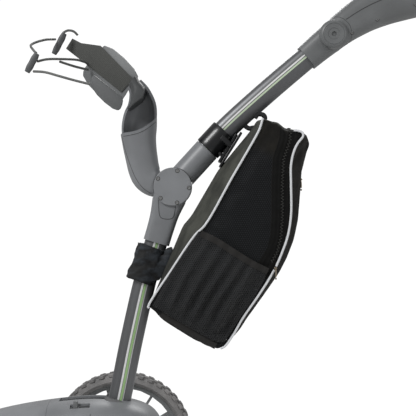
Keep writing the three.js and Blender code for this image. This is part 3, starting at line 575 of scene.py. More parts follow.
def tyre_rubber():
    finish = Finish("tyre_rubber")
    dust = finish.noise(0.03, 5)
    fine = finish.noise(0.0012, 3)
    finish.paint(finish.mix(dust.step(0.3, 0.7), colour("737272"), colour("8d8b8a")))
    finish.roughness(dust * 0.2 + 0.68)
    finish.relief(fine + dust * 0.5, 0.00035)
    return finish.material


def tube_metal(name, bands):
    """Satin tube with straight bands along it, each (start, end, colour, roughness, metal) across. Its near-white bands
    are painted highlights.
    """
    finish = Finish(name)
    across = finish.attribute("across")
    brushed = finish.noise(0.004, 3, (1, 1, 0.06))
    paint = finish.mix(brushed, colour("6a6b6d"), colour("707173"))
    rough, metal = 0.34, 0.6
    for start, end, code, gloss, shine in bands:
        band = across.step(start - 0.012, start + 0.012) * across.step(end + 0.012, end - 0.012)
        paint = finish.mix(band, paint, colour(code))
        rough = rough * (1 - band) + band * gloss
        metal = metal * (1 - band) + band * shine
    finish.paint(paint)
    finish.roughness(rough + brushed * 0.08)
    finish.feed(finish.shader.inputs["Metallic"], metal)
    finish.relief(brushed, 0.00004)
    return finish.material


def bare_metal(name, code, rough):
    finish = Finish(name, Metallic=1.0)
    scuff = finish.noise(0.006, 4)
    finish.paint(finish.mix(scuff, colour(code), colour("8d8a84")))
    finish.roughness(scuff * 0.2 + rough)
    finish.relief(finish.noise(0.0006), 0.00003)
    return finish.material


def weave(finish, first, second, pitch):
    """Plain woven threads, one set along each of two directions."""
    over = first.wave(pitch) * second.wave(2 * pitch)
    under = second.wave(pitch) * (1 - second.wave(2 * pitch))
    return over + under


def woven_cloth(name, dark, light, pitch=0.0013, rough=0.82, fold_depth=0.0011):
    """Close-woven nylon that is softly creased."""
    finish = Finish(name, Sheen_Weight=0.12, Sheen_Roughness=0.5)
    folds = finish.noise(0.028, 3, (1, 1, 0.55))
    threads = weave(finish, finish.x + finish.y, finish.z + finish.y * 0.5, pitch)
    finish.paint(finish.mix(folds.step(0.3, 0.7) * 0.7 + threads * 0.3, colour(dark), colour(light)))
    finish.roughness(threads * 0.12 + (rough - 0.06))
    finish.relief(folds * (fold_depth / 0.0012) + threads * 0.16, 0.0012)
    return finish.material


def side_cloth():
    """The bag's skin: small raised cells on its sides, plain cloth round its edges, and the zip's band. A lighter
    grey-brown band along the back is painted light.
    """
    finish = Finish("bag_side_cloth", Specular_IOR_Level=0.22, Sheen_Weight=0.01, Sheen_Roughness=0.45)
    zip_at = finish.attribute("zip_distance")
    side = finish.attribute("side_panel")
    plain_top = (finish.z + finish.x * 0.35 + finish.noise(0.06) * 0.02).step(0.845, 0.87)
    u = finish.x * 0.84 - finish.z * 0.54
    v = finish.x * 0.54 + finish.z * 0.84
    pitch = 0.0036
    cells = (u.wave(pitch) + (u * 0.5 + v * 0.866).wave(pitch) + (u * 0.5 - v * 0.866).wave(pitch)) * 0.333
    cell = cells.step(0.42, 0.72)
    in_band = zip_at.step(-0.021, -0.018) * side
    patterned = side * (1 - in_band) * (1 - plain_top)
    threads = weave(finish, finish.x + finish.y, finish.z + finish.y * 0.5, 0.0013)
    folds = finish.noise(0.03, 3, (1, 1, 0.6))
    # back marks the bag's back beside the mast. There a lighter grey-brown is painted as light falling on it.
    back = (finish.x * 0.84 - finish.z * 0.54).step(-0.175, -0.21) * (1 - side) * finish.z.step(0.44, 0.62)
    plain = finish.mix(folds.step(0.3, 0.7), colour("0f0e0c"), colour("201e1a"))
    plain = finish.mix(back, plain, finish.mix(folds.step(0.3, 0.7), colour("393a36"), colour("4e4f49")))
    panel = finish.mix(cell, colour("08090a"), colour("1d2023"))
    skin = finish.mix(patterned, plain, panel)
    skin = finish.mix(in_band, skin, colour("080807"))
    ridges = (zip_at + 0.004).wave(0.0085) * in_band
    finish.paint(skin)
    finish.roughness(0.78 - cell * patterned * 0.2 + threads * 0.06)
    height = patterned * cell * 0.35 + (1 - patterned) * threads * 0.12 + folds * 0.9 + ridges * 0.8
    finish.relief(height, 0.0012)
    return finish.material


def pocket_mesh():
    """Knitted mesh: rows of small open cells, and fine ribs along its folds."""
    finish = Finish("pocket_mesh", Sheen_Weight=0.1)
    u = finish.x * 0.84 - finish.z * 0.54
    v = finish.x * 0.54 + finish.z * 0.84
    pitch = 0.0034
    holes = (u.wave(pitch) + (u * 0.5 + v * 0.866).wave(pitch) + (u * 0.5 - v * 0.866).wave(pitch)) * 0.333
    open_cell = holes.step(0.55, 0.72)
    drift = finish.noise(0.03, 3)
    finish.paint(finish.mix(drift, colour("050607"), colour("0f1215")))
    finish.roughness(0.7 + drift * 0.15)
    finish.feed(finish.shader.inputs["Alpha"], 1 - open_cell * 0.35)
    finish.relief((1 - holes) + drift * 0.4, 0.0008)
    return finish.material


def strap_webbing(name, dark, light, pitch=0.0022):
    """Ribbed webbing, with its ribs across its length."""
    finish = Finish(name, Sheen_Weight=0.1)
    along = finish.attribute("along")
    across = finish.attribute("across")
    rib = along.wave(pitch)
    drift = finish.noise(0.02, 3)
    edge = across.size().step(0.7, 0.95)
    finish.paint(finish.mix(rib * 0.4 + drift * 0.6, colour(dark), colour(light)))
    finish.roughness(0.7 + drift * 0.15)
    finish.relief(rib * 0.5 + drift * 0.5 + edge * 0.3, 0.0006)
    return finish.material


def braided_cord(name, dark, light, pitch):
    finish = Finish(name, Sheen_Weight=0.08)
    along = finish.attribute("along")
    across = finish.attribute("across")
    braid = (along + across * (pitch / 2)).wave(pitch) * (along - across * (pitch / 2)).wave(pitch)
    finish.paint(finish.mix(braid, colour(dark), colour(light)))
    finish.roughness(braid * 0.2 + 0.45)
    finish.relief(braid, 0.0003)
    return finish.material


def creased_strap():
    """Hook-and-loop strap: black, soft and deeply creased. Its crease tops are painted a lighter blue-grey as a
    highlight.
    """
    finish = Finish("hook_and_loop", Sheen_Weight=0.1, Sheen_Roughness=0.4)
    creases_and_painted_highlight = finish.noise(0.014, 4, (0.6, 1, 1.2))
    nap = finish.noise(0.0012, 2)
    # The crease noise also drives the colour: the strap's own black in the hollows, and a blue-grey painted highlight
    # on the crease tops.
    finish.paint(finish.mix(creases_and_painted_highlight.step(0.4, 0.68), colour("090a0b"), colour("2c3137")))
    finish.roughness(0.62 + nap * 0.2)
    finish.relief(creases_and_painted_highlight * 0.85 + nap * 0.15, 0.003)
    return finish.material


GREY = moulded_plastic("satin_grey_plastic", "828487", 0.4)
HANDLE_GREY = moulded_plastic("handle_grey_plastic", "6c6e6f", 0.42, 0.00005)
DARK_GREY = moulded_plastic("frame_grey_plastic", "6f7172", 0.5, 0.0001)
BOOT_GREY = moulded_plastic("boot_grey_plastic", "656566", 0.6, 0.0001)
BLACK = moulded_plastic("gloss_black_plastic", "0b0d10", 0.33, 0.0, 0.25)
SEAM = moulded_plastic("seam_shadow", "3c3d3e", 0.8)
RUBBER = tyre_rubber()
TRIM_GREY = moulded_plastic("trim_grey_plastic", "4b4d4e", 0.5)
GRIP_RUBBER = moulded_plastic("grip_rubber", "4a4b4c", 0.75, 0.0002)
# The near-white bands on both tubes are painted highlights. The green bands are the tubes' coloured stripes.
LOWER_METAL = tube_metal("lower_tube_metal", [(0.0, 0.17, "f4f4f4", 0.2, 0.2), (-0.24, -0.04, "9bbf84", 0.34, 0.0), (-0.34, -0.27, "dededf", 0.2, 0.4)])
UPPER_METAL = tube_metal("upper_tube_metal", [(0.22, 0.36, "f4f4f3", 0.2, 0.2), (0.0, 0.15, "c6d6ba", 0.34, 0.0)])
STEEL = bare_metal("plain_steel", "b3b4b5", 0.3)
PULL_METAL = bare_metal("zip_pull_metal", "b9a78c", 0.28)
BAG_CLOTH = side_cloth()
LINING = woven_cloth("bag_lining", "5a5d5f", "777a7c", 0.002, 0.6)
MESH = pocket_mesh()
BINDING = strap_webbing("bag_binding", "0c0a08", "181512", 0.0016)
BLACK_WEBBING = strap_webbing("black_webbing", "0c0d0e", "26282a")
GREY_WEBBING = strap_webbing("grey_webbing", "3a3b39", "4b4c49", 0.003)
HOOK_AND_LOOP = creased_strap()
PIPING = braided_cord("white_piping", "d6d8dc", "ffffff", 0.0016)
CORD = braided_cord("elastic_cord", "5a5b5a", "6b6c69", 0.003)
ZIP_COIL = braided_cord("zip_coil", "0c0c0c", "2d2d2a", 0.0025)


# ---------------------------------------------------------------- camera, light and floor
def studio():
    """A level camera beside the object, soft lights above it, and a plain pale floor."""
    lens = bpy.data.cameras.new("camera")
    lens.lens = 100.2
    lens.sensor_width = 36
    camera = bpy.data.objects.new("camera", lens)
    camera.location = (0.1535, -2.2, 0.655)
    camera.rotation_euler = (math.pi / 2, 0, 0)
    bpy.context.scene.collection.objects.link(camera)
    bpy.context.scene.camera = camera

    for name, at, aim, size, power in (
        ("key_light", (-1.5, -1.6, 2.3), (0.15, 0, 0.7), 0.9, 44),
        ("side_light", (2.0, -1.5, 1.3), (0.2, 0, 0.7), 0.9, 9),
        ("back_light", (0.4, 1.8, 2.2), (0.2, 0, 0.7), 1.2, 24),
    ):
        lamp = bpy.data.lights.new(name, "AREA")
        lamp.size = size
        lamp.energy = power
        light = bpy.data.objects.new(name, lamp)
        light.location = at
        light.rotation_euler = (Vector(aim) - Vector(at)).to_track_quat("-Z", "Y").to_euler()
        bpy.context.scene.collection.objects.link(light)

    world = bpy.data.worlds.new("white_room")
    world.use_nodes = True
    nodes, links = world.node_tree.nodes, world.node_tree.links
    backdrop = nodes.new("ShaderNodeMapRange")
    seen = nodes.new("ShaderNodeLightPath")
    backdrop.inputs["To Min"].default_value = 0.36
    backdrop.inputs["To Max"].default_value = 1.05
    links.new(seen.outputs["Is Camera Ray"], backdrop.inputs["Value"])
    links.new(backdrop.outputs["Result"], nodes["Background"].inputs["Strength"])
    nodes["Background"].inputs["Color"].default_value = (1, 1, 1, 1)
    bpy.context.scene.world = world
    bpy.context.scene.view_settings.view_transform = "Standard"

    floor_finish = Finish("floor_paint", Roughness=0.9)
    floor_finish.paint(floor_finish.mix(floor_finish.noise(0.4), colour("f1f1f0"), colour("f6f6f5")))
    bm = bmesh.new()
    bmesh.ops.create_grid(bm, x_segments=1, y_segments=1, size=1.25, matrix=Matrix.Translation((0, 0, -0.0005)))
    mesh = bpy.data.meshes.new("floor")
    bm.to_mesh(mesh)
    bm.free()
    mesh.materials.append(floor_finish.material)
    floor = bpy.data.objects.new("floor", mesh)
    bpy.context.scene.collection.objects.link(floor)


# ---------------------------------------------------------------- golf bag bracket: cords
def cords():
    """The elastic cords between the bracket's wings and toggles, each on its own route."""
    for name, route in CORDS.items():
        path = resampled(smooth_line(route), 20)
        cord = piece(f"{name}_braid", tube(path, CORD_R, around=12), CORD, stands_for=name)
        line_length(path)


# ---------------------------------------------------------------- mast and hub
def fitted_screw(name, skin, at, like, side=NEAR, radius=0.0033):
    """A small screw head with a recessed socket, sunk in a dark counterbore."""
    on = skin.at(*at, side)
    y = side * abs(on.y)
    out = side
    profile = [
        (0, y - out * 0.0008), (radius * 0.45, y - out * 0.0008), (radius * 0.5, y + out * 0.0005),
        (radius * 0.85, y + out * 0.0006), (radius, y + out * 0.0001), (radius, y - out * 0.002), (0, y - out * 0.002),
    ]
    recess = [
        (radius, y - out * 0.002), (radius + 0.0008, y - out * 0.002), (radius + 0.0008, y + out * 0.0003),
        (radius, y + out * 0.0003),
    ]
    piece(f"{name}_recess", spun(recess, at, 20), SEAM, like=like, sharp=25)
    return piece(name, spun(profile, at, 16, closed=False), STEEL, like=like, sharp=25)


def hub_stem(grow=0.0):
    """The hub's lower part, which flares from the lower tube to the hub's round cheeks."""
    return loft(
        [(0.0555, 0.59), (0.066, 0.625), (0.0745, 0.655), HUB],
        [0.025, 0.0253, 0.0268, 0.0312, 0.0355], [0.022, 0.0222, 0.0235, 0.0262, 0.0269], 4.5, 64, 28,
        grow=grow,
    )


def mast():
    """The two tubes, the hub with its cheeks and covers, and the sleeve above it."""
    lower = loft(MAST_LINE, TUBE_DEPTH, TUBE_WIDTH, TUBE_SQUARENESS, 56, 40)
    piece("lower_tube_skin", lower, LOWER_METAL, stands_for="lower_tube")

    sleeve_end = away(HUB, UPPER_ANGLE, 0.096)
    upper_line = [
        away(HUB, UPPER_ANGLE, 0.06), sleeve_end, (0.19, 0.807), (0.265, 0.875), (0.346, 0.944), (0.366, 0.9605),
    ]
    upper = loft(upper_line, TUBE_DEPTH, TUBE_WIDTH, TUBE_SQUARENESS, 56, 40)
    piece("upper_tube_skin", upper, UPPER_METAL, stands_for="upper_tube")

    cheeks = disc(HUB_R, HUB, -HUB_CHEEK_OUT, HUB_CHEEK_OUT, 0.0012, 64)
    slot = spun(
        [(0, -HUB_CHEEK_IN), (HUB_R + 0.003, -HUB_CHEEK_IN), (HUB_R + 0.003, HUB_CHEEK_IN), (0, HUB_CHEEK_IN)],
        HUB, 64, closed=False,
    )
    above = block((0.12, 2 * HUB_CHEEK_IN, 0.06), (HUB[0], 0, HUB[1] + 0.03), edge=0)
    front = block((0.06, 2 * HUB_CHEEK_IN, 0.08), (HUB[0] - 0.04, 0, HUB[1] + 0.02), edge=0)
    bore = loft([(0.048, 0.56), (0.055, 0.59), (0.07, 0.64), (0.076, 0.662)], TUBE_DEPTH + 0.0004, TUBE_WIDTH + 0.0004, TUBE_SQUARENESS, 48, 8)
    hub = carved(carved(hub_stem(), cheeks, operation="UNION"), slot, above, front, bore)
    skin = Skin(hub)
    piece("hub_casting", hub, GREY, stands_for=("hub_sleeve", "hub_pin"), edge=0.0006)

    for side, node in ((NEAR, "hub_cover_near"), (FAR, "hub_cover_far")):
        base = side * 0.0274
        top = side * 0.0304
        lip = side * 0.0008
        cover = spun(
            [(0, base), (HUB_R, base), (HUB_R, top - lip), (HUB_R - 0.0012, top), (0, top)],
            HUB, 72, closed=False,
        )
        cover_skin = Skin(cover)
        piece(f"{node}_disc", cover, GREY, stands_for=node, sharp=20)
        for i, degrees in enumerate((-4, 73, 151, 224, 286)):
            fitted_screw(f"{node}_screw_{i}", cover_skin, away(HUB, math.radians(degrees), 0.0312), node, side)
        tongue = [(0.0605, 0.6705), (0.0625, 0.6415), (0.0665, 0.636), (0.083, 0.6345), (0.0885, 0.6385), (0.0925, 0.659)]
        seam(f"{node}_tongue_seam", skin, tongue, "hub_sleeve", side, 0.0006)

    start = away(HUB, UPPER_ANGLE, 0.018)
    barrel = loft([start, sleeve_end], SLEEVE_R + 0.0006, SLEEVE_R + 0.0006, 2, 56, 14)
    eased(barrel, 0.0012, 60)
    barrel = carved(barrel, disc(HUB_R + 0.001, HUB, -0.06, 0.06, 0, 72))
    tongue = joined(
        disc(HUB_R - 0.004, HUB, -0.0066, 0.0066),
        loft([HUB, away(HUB, UPPER_ANGLE, HUB_R + 0.01)], 0.02, 0.0066, 8, 24, 2),
    )
    piece("upper_sleeve_barrel", joined(barrel, tongue), GREY, stands_for="upper_sleeve")


def collar():
    """The clamp round the upper tube, and the two plates that hook the bag to it."""
    start = away(away(HUB, UPPER_ANGLE, 0.096), UPPER_ANGLE, 0.001)
    at = lambda distance: away(start, UPPER_ANGLE - 0.01, distance)
    clamp = eased(loft([at(0), at(COLLAR_LENGTH)], COLLAR_R, COLLAR_R, 2, 56, 4), 0.0014, 60)
    tooth = UPPER_ANGLE - math.pi / 2
    lug = at(0.024)
    lugs = [
        loft([away(lug, tooth, 0.012), away(lug, tooth, 0.027)], 0.0075, 0.011, 6, 16, 2),
        loft([away(at(0.036), tooth, 0.014), away(at(0.036), tooth, 0.031)], 0.0035, 0.016, 6, 16, 2),
        loft([away(at(0.01), tooth, 0.014), away(at(0.01), tooth, 0.029)], 0.0035, 0.016, 6, 16, 2),
    ]
    back = loft([away(PLATE_MIDDLE, PLATE_ANGLE, -0.031), away(PLATE_MIDDLE, PLATE_ANGLE, 0.031)], 0.003, 0.024, 8, 32, 4)
    piece("tube_clamp", joined(clamp, *[eased(lug, 0.0008, 50) for lug in lugs], eased(back, 0.001, 50)), BLACK, stands_for="tube_collar")
    hook = away(PLATE_MIDDLE, PLATE_ANGLE - math.pi / 2, HOOK_OUT)
    plate = loft([away(hook, PLATE_ANGLE, -0.038), away(hook, PLATE_ANGLE, 0.038)], 0.0025, 0.03, 8, 32, 4)
    piece("bag_hook", eased(plate, 0.001, 50), BLACK, stands_for="bag_hook_plate")
    clip = loft([away(at(0.034), tooth, 0.004), away(at(0.034), tooth, 0.03)], 0.0062, 0.0285, 6, 24, 2)
    piece("clamp_clip", eased(clip, 0.001, 50), BLACK, like="tube_collar")


# ---------------------------------------------------------------- accessory bag
def bag_form():
    """The bag's closed form: its outline across its width, with its back and front panels crowned."""
    bm = new_shape()
    outline = BAG_OUTLINE
    face = bm.faces.new([bm.verts.new((x, -BAG_HALF + 0.001, z)) for x, z in outline])
    steps = 12
    for _ in range(steps):
        made = bmesh.ops.extrude_face_region(bm, geom=[face])["geom"]
        face = next(part for part in made if isinstance(part, bmesh.types.BMFace))
        bmesh.ops.translate(bm, verts=face.verts, vec=(0, 2 * (BAG_HALF - 0.001) / steps, 0))
    bmesh.ops.recalc_face_normals(bm, faces=bm.faces)
    for vertex in bm.verts:
        out = 1 - (vertex.co.y / BAG_HALF) ** 2
        reach = Vector((vertex.co.x, vertex.co.z)) - BAG_FOOT
        up = min(max(reach.dot(BAG_LONG) / 0.4, 0), 1)
        across = reach.x * BAG_LONG.y - reach.y * BAG_LONG.x
        back = -size_at(BACK_CROWN, up) * min(max((0.03 - across) / 0.025, 0), 1)
        front = size_at(FRONT_CROWN, up) * min(max((across - 0.045) / 0.025, 0), 1)
        swell = (back + front) * out
        vertex.co += Vector((swell * BAG_LONG.y, 0, -swell * BAG_LONG.x))
    return bm


def edge_distance(x, z, outline):
    """How far (x, z) is from the outline's nearest edge."""
    return min(segment_distance(x, z, a, b) for a, b in zip(outline, [*outline[1:], outline[0]]))


def segment_distance(x, z, a, b):
    at = Vector((x, z, 0))
    one, other = Vector((*a, 0)), Vector((*b, 0))
    nearest, t = intersect_point_line(at, one, other)
    return (at - one.lerp(other, min(max(t, 0), 1))).length


def zip_distance(x, z):
    """How far (x, z) is from the zip's line: more than 0 on the lid, and less on the body."""
    far = min(segment_distance(x, z, a, b) for a, b in zip(ZIP_LINE, ZIP_LINE[1:]))
    return far if in_outline(LID_SPACE, x, z) else -far


def puffed_bag():
    """The bag's cloth: its form remeshed, then swelled as cloth between its piped edges."""
    voxel, cap = 0.006, 0.007
    body = loose_object(bag_form())
    remesh = body.modifiers.new("remesh", "REMESH")
    remesh.mode = "VOXEL"
    remesh.voxel_size = voxel
    bm = evaluated(body)
    rest = [vertex.co.copy() for vertex in bm.verts]
    body = loose_object(bm)
    bm.free()
    held = body.vertex_groups.new(name="held")
    for i, at in enumerate(rest):
        edge = edge_distance(at.x, at.z, BAG_OUTLINE)
        corner = math.hypot(edge, BAG_HALF - abs(at.y))
        by_mast = at.x * 0.84 - at.z * 0.54 < -0.212
        held.add([i], 1.0 if by_mast else min(max(1.25 - corner / 0.016, 0), 1), "REPLACE")
    cloth = body.modifiers.new("cloth", "CLOTH")
    cloth.settings.vertex_group_mass = "held"
    cloth.settings.use_pressure = True
    cloth.settings.uniform_pressure_force = 4
    cloth.settings.effector_weights.gravity = 0
    cloth.settings.quality = 5
    cloth.settings.tension_stiffness = 12
    cloth.settings.bending_stiffness = 0.6
    cloth.settings.shrink_min = -0.03
    cloth.point_cache.frame_start = 1
    cloth.point_cache.frame_end = 20
    for number in range(1, 21):
        bpy.context.scene.frame_set(number)
    bm = evaluated(body)
    bpy.context.scene.frame_set(1)
    for vertex, at in zip(bm.verts, rest):
        move = vertex.co - at
        if move.length > cap:
            vertex.co = at + move * (cap / move.length)
    return bm


def split_at_zip(bm):
    """Cuts the bag's skin along the zip, and returns the body's part and the lid's."""
    edges = list(zip(LID_SPACE, LID_SPACE[1:]))[: len(ZIP_LINE) + 1]
    for (ax, az), (bx, bz) in [((0.4, 0.48), (0.278, 0.53)), *edges]:
        near = [face for face in bm.faces if segment_distance(face.calc_center_median().x, face.calc_center_median().z, (ax, az), (bx, bz)) < 0.014]
        parts = {part for face in near for part in (*face.verts, *face.edges)}
        bmesh.ops.bisect_plane(
            bm, geom=[*near, *parts], dist=1e-6, plane_co=(ax, 0, az),
            plane_no=(-(bz - az), 0, bx - ax),
        )
    both = []
    for keep in (False, True):
        part = bm.copy()
        spare = []
        for face in part.faces:
            middle = face.calc_center_median()
            if in_outline(LID_SPACE, middle.x, middle.z) != keep:
                spare.append(face)
        bmesh.ops.delete(part, geom=spare, context="FACES")
        both.append(part)
    return both


def rim_points(bm):
    """The open rim of a shape, as an ordered line of points."""
    left = {edge for edge in bm.edges if edge.is_boundary}
    chains = []
    while left:
        edge = left.pop()
        chain = [edge.verts[0], edge.verts[1]]
        while True:
            following = next((e for e in chain[-1].link_edges if e in left), None)
            if following is None:
                break
            left.remove(following)
            chain.append(following.other_vert(chain[-1]))
        chains.append([vertex.co.copy() for vertex in chain])
    return max(chains, key=len)


def cloth_shell(name, bm, node):
    """A part of the bag's skin, given its thickness and lining."""
    distance = bm.verts.layers.float.new("zip_distance")
    side = bm.verts.layers.float.new("side_panel")
    for vertex in bm.verts:
        x, y, z = vertex.co
        vertex[distance] = zip_distance(x, z)
        edge = edge_distance(x, z, BAG_OUTLINE)
        inside = in_outline(BAG_OUTLINE, x, z)
        vertex[side] = 1.0 if abs(y) > BAG_HALF - 0.012 and inside and edge > 0.0015 else 0.0
    made = piece(name, bm, [BAG_CLOTH, LINING], stands_for=node, sharp=180)
    smooth = made.modifiers.new("smooth", "SUBSURF")
    smooth.levels = smooth.render_levels = 1
    wall = made.modifiers.new("wall", "SOLIDIFY")
    wall.thickness = 0.003
    wall.offset = -1
    wall.material_offset = 1
    wall.material_offset_rim = 0
    return made


def piping(name, points, side, like):
    """A round white cord sewn along an edge of the bag."""
    out = 0.0006
    line = [Vector((p.x, side * (BAG_HALF + out), p.z)) for p in smooth_line(points, 6)]
    return piece(name, tube(line, 0.0021, around=10), PIPING, like=like)


def accessory_bag():
    """The soft bag: body, lid, piping, zip, mesh pocket, straps and loop."""
    form = puffed_bag()
    skin = Skin(form)
    body, lid = split_at_zip(form)
    rim = rim_points(body)
    if rim[0].y > rim[-1].y:
        rim.reverse()
    for name, part, node in (("bag_body_cloth", body, "bag_body"), ("bag_lid_cloth", lid, "bag_lid")):
        cloth_shell(name, part, node)

    for side, word in ((NEAR, "near"), (FAR, "far")):
        piping(f"back_piping_{word}", [*BAG_BACK, (0.0465, 0.4735)], side, "bag_body")
        piping(f"lower_front_piping_{word}", [(0.176, 0.4), *BAG_LOWER_FRONT[:-1]], side, "bag_body")
        piping(f"lid_piping_{word}", [(0.277, 0.549), BAG_LOWER_FRONT[-1], *BAG_UPPER_FRONT, (0.3245, 0.792), (0.316, 0.7955), (0.309, 0.796)], side, "bag_lid")
        seam_line = [(0.069, 0.4635), (0.094, 0.4475), (0.134, 0.4225), (0.168, 0.4045)]
        binding_line = [skin.at(x, z, side, 0.0006) for x, z in seam_line]
        piece(f"bottom_binding_{word}", tube(resampled(binding_line, 24), 0.006, 12, 0.14, UP_Y.cross(Vector((0.84, 0, -0.54)))), BINDING, like="bag_body")

    zip_teeth(rim, skin)
    mesh_pocket(skin)
    tube_strap()
    top_loop()


def zip_teeth(rim, skin):
    """The zip's two rows of small teeth along the lid's opening."""
    line = [p for p in resampled(rim, 400) if p.z > 0.556]
    line = resampled(line, 300)
    bm = new_shape()
    for i in range(1, len(line) - 1):
        tangent = (line[i + 1] - line[i - 1]).normalized()
        _, normal, _, _ = skin.tree.find_nearest(line[i])
        wide = normal.cross(tangent).normalized()
        out = tangent.cross(wide)
        shift = 0.0011 if i % 2 else -0.0011
        turn = Matrix((tangent, wide, out)).transposed().to_4x4()
        place = Matrix.Translation(line[i] + wide * shift + normal * 0.0009) @ turn @ Matrix.Diagonal((0.0014, 0.003, 0.0018, 1))
        bmesh.ops.create_cube(bm, size=1, matrix=place)
    piece("zip_teeth", bm, ZIP_COIL, like="bag_body")


def mesh_pocket(skin):
    """The mesh pouch on the near side: gathered at its mouth, with a bound top edge."""
    back = resampled(smooth_line([(0.136, 0.6125), (0.131, 0.6035), (0.0875, 0.5405), (0.053, 0.478)]), 40)
    front = resampled(smooth_line([(0.263, 0.5415), (0.242, 0.5), (0.213, 0.458), (0.184, 0.412)]), 40)
    mouth = resampled(smooth_line([(0.136, 0.6125), (0.166, 0.5985), (0.202, 0.5755), (0.233, 0.5565), (0.263, 0.5415)]), 96)
    foot = resampled(smooth_line([(0.056, 0.482), (0.095, 0.457), (0.137, 0.432), (0.168, 0.415), (0.184, 0.414)]), 96)
    bm = new_shape()
    bmesh.ops.create_grid(bm, x_segments=96, y_segments=40, size=0.5)
    for vertex in bm.verts:
        u, v = vertex.co.x + 0.5, 0.5 - vertex.co.y
        i, j = round(u * 96), round(v * 40)
        # Coons patch between the four edges
        top_foot = mouth[i].lerp(foot[i], v)
        sides = back[j].lerp(front[j], u)
        corners = mouth[0].lerp(mouth[96], u).lerp(foot[0].lerp(foot[96], u), v)
        at = top_foot + sides - corners
        edge = min(1, 5 * min(u, 1 - u)) * min(1, 3.2 * (1 - v) ** 0.8)
        warp = noise.noise(Vector((u * 2.2, v * 1.1, 3.1)))
        pleat = 0.5 + 0.5 * math.sin(2 * math.pi * (u * 6.4 + 0.3 * warp + 0.12 * math.sin(v * 4)))
        bulge = 0.0028 + edge * (0.002 + 0.0078 * pleat**1.5 * min(1, 0.4 + 1.2 * v) + 0.002 * warp)
        panel = skin.at(at.x, at.z, NEAR)
        vertex.co = Vector((at.x, min(panel.y, -BAG_HALF) - bulge, at.z))
    bmesh.ops.recalc_face_normals(bm, faces=bm.faces)
    pouch = Skin(bm)
    net = piece("pocket_net", bm, MESH, stands_for="mesh_pocket", sharp=180)
    thick = net.modifiers.new("thread", "SOLIDIFY")
    thick.thickness = 0.0006
    lip = [pouch.at(p.x + 0.0015, p.z - 0.0025, NEAR) + Vector((0, -0.001, 0)) for p in mouth[2:-1:2]]
    along_bag = Vector((BAG_LONG.x, 0, BAG_LONG.y))
    binding = tube(lip, 0.0058, 14, 0.2, along_bag)
    piece("pocket_binding", binding, BINDING, like="mesh_pocket")


def tube_strap():
    """The creased hook-and-loop strap round the lower tube, sewn to the bag's back."""
    line = [(0.0245, 0.5165), (0.033, 0.54), (0.041, 0.562), (0.0475, 0.582)]
    band = loft(line, [0.029, 0.0272, 0.0258, 0.0268, 0.0288], [0.0245, 0.0232, 0.0228, 0.0232, 0.0248], 2.4, 72, 36)
    for vertex in band.verts:
        at = vertex.co
        crease = noise.noise(at * 62) * 0.0028 + noise.noise(at * 140) * 0.0012
        vertex.co += vertex.normal * crease
    ear_outline = [(0.044, 0.515), (0.062, 0.519), (0.09, 0.568), (0.084, 0.581), (0.073, 0.577), (0.07, 0.567), (0.05, 0.56)]
    ear = slab(ear_outline, -0.019, 0.019, 0.002, 6)
    bmesh.ops.subdivide_edges(ear, edges=ear.edges, cuts=2, use_grid_fill=True)
    for vertex in ear.verts:
        vertex.co += Vector((0.4, 1, 0.4)) * noise.noise(vertex.co * 90) * 0.002
    bore = loft([(0.02, 0.5), (0.034, 0.543), (0.052, 0.6)], TUBE_DEPTH + 0.0006, TUBE_WIDTH + 0.0006, TUBE_SQUARENESS, 48, 12)
    strap = carved(carved(band, ear, operation="UNION"), bore)
    piece("hook_and_loop_strap", strap, HOOK_AND_LOOP, stands_for="bag_strap", sharp=60)


def top_loop():
    """The webbing loop at the bag's top corner, under the upper tube."""
    side = UP_Y
    low = smooth_line([(0.2235, 0, 0.8115), (0.231, 0, 0.8065), (0.243, 0, 0.8075), (0.2535, 0, 0.8045), (0.2585, 0, 0.8115)])
    high = smooth_line([(0.243, 0, 0.8265), (0.2485, 0, 0.8335), (0.2575, 0, 0.8325), (0.262, 0, 0.8265), (0.2565, 0, 0.8155)])
    straps = []
    for line in (low, high):
        strap = tube(resampled(line, 30), 0.0115, 14, 0.36, side)
        for vertex in strap.verts:
            vertex.co += vertex.normal * noise.noise(vertex.co * 120) * 0.0012
        straps.append(strap)
    piece("top_loop_webbing", joined(*straps), BLACK_WEBBING, stands_for="top_loop")


def zip_pulls():
    """A swinging tab with its small loop at each end of the zip."""
    for node, x, z, y in (("upper_zip_pull", 0.3255, 0.708, -0.034), ("lower_zip_pull", 0.274, 0.546, -0.1055)):
        tab = slab(
            [(x + 0.0006, z), (x + 0.0022, z + 0.0006), (x + 0.0034, z - 0.006), (x + 0.0038, z - 0.019), (x + 0.0028, z - 0.0212),
             (x + 0.0012, z - 0.0205), (x + 0.0012, z - 0.006)],
            y - 0.0034, y + 0.0034, 0.0006,
        )
        hole = spun([(0, y - 0.01), (0.0014, y - 0.01), (0.0014, y + 0.01), (0, y + 0.01)], (x + 0.0024, z - 0.0165), 16, closed=False)
        loop = tube(resampled(smooth_line([(x, y, z - 0.0012), (x + 0.0008, y, z + 0.0012), (x + 0.003, y, z + 0.0012), (x + 0.0036, y, z - 0.001)]), 12), 0.0011, 8)
        piece(f"{node}_tab", joined(carved(tab, hole), loop), PULL_METAL, stands_for=node, sharp=30)


# ---------------------------------------------------------------- golf bag bracket
def arm_cavity(wall):
    """The arm's inside, this far within its outside."""
    depths = [0.027, *ARM_DEPTHS[3:], 0.016]
    widths = [0.027, *ARM_WIDTHS[3:], 0.037]
    return loft(ARM_INSIDE, depths, widths, 2.6, 48, 36, grow=-wall)


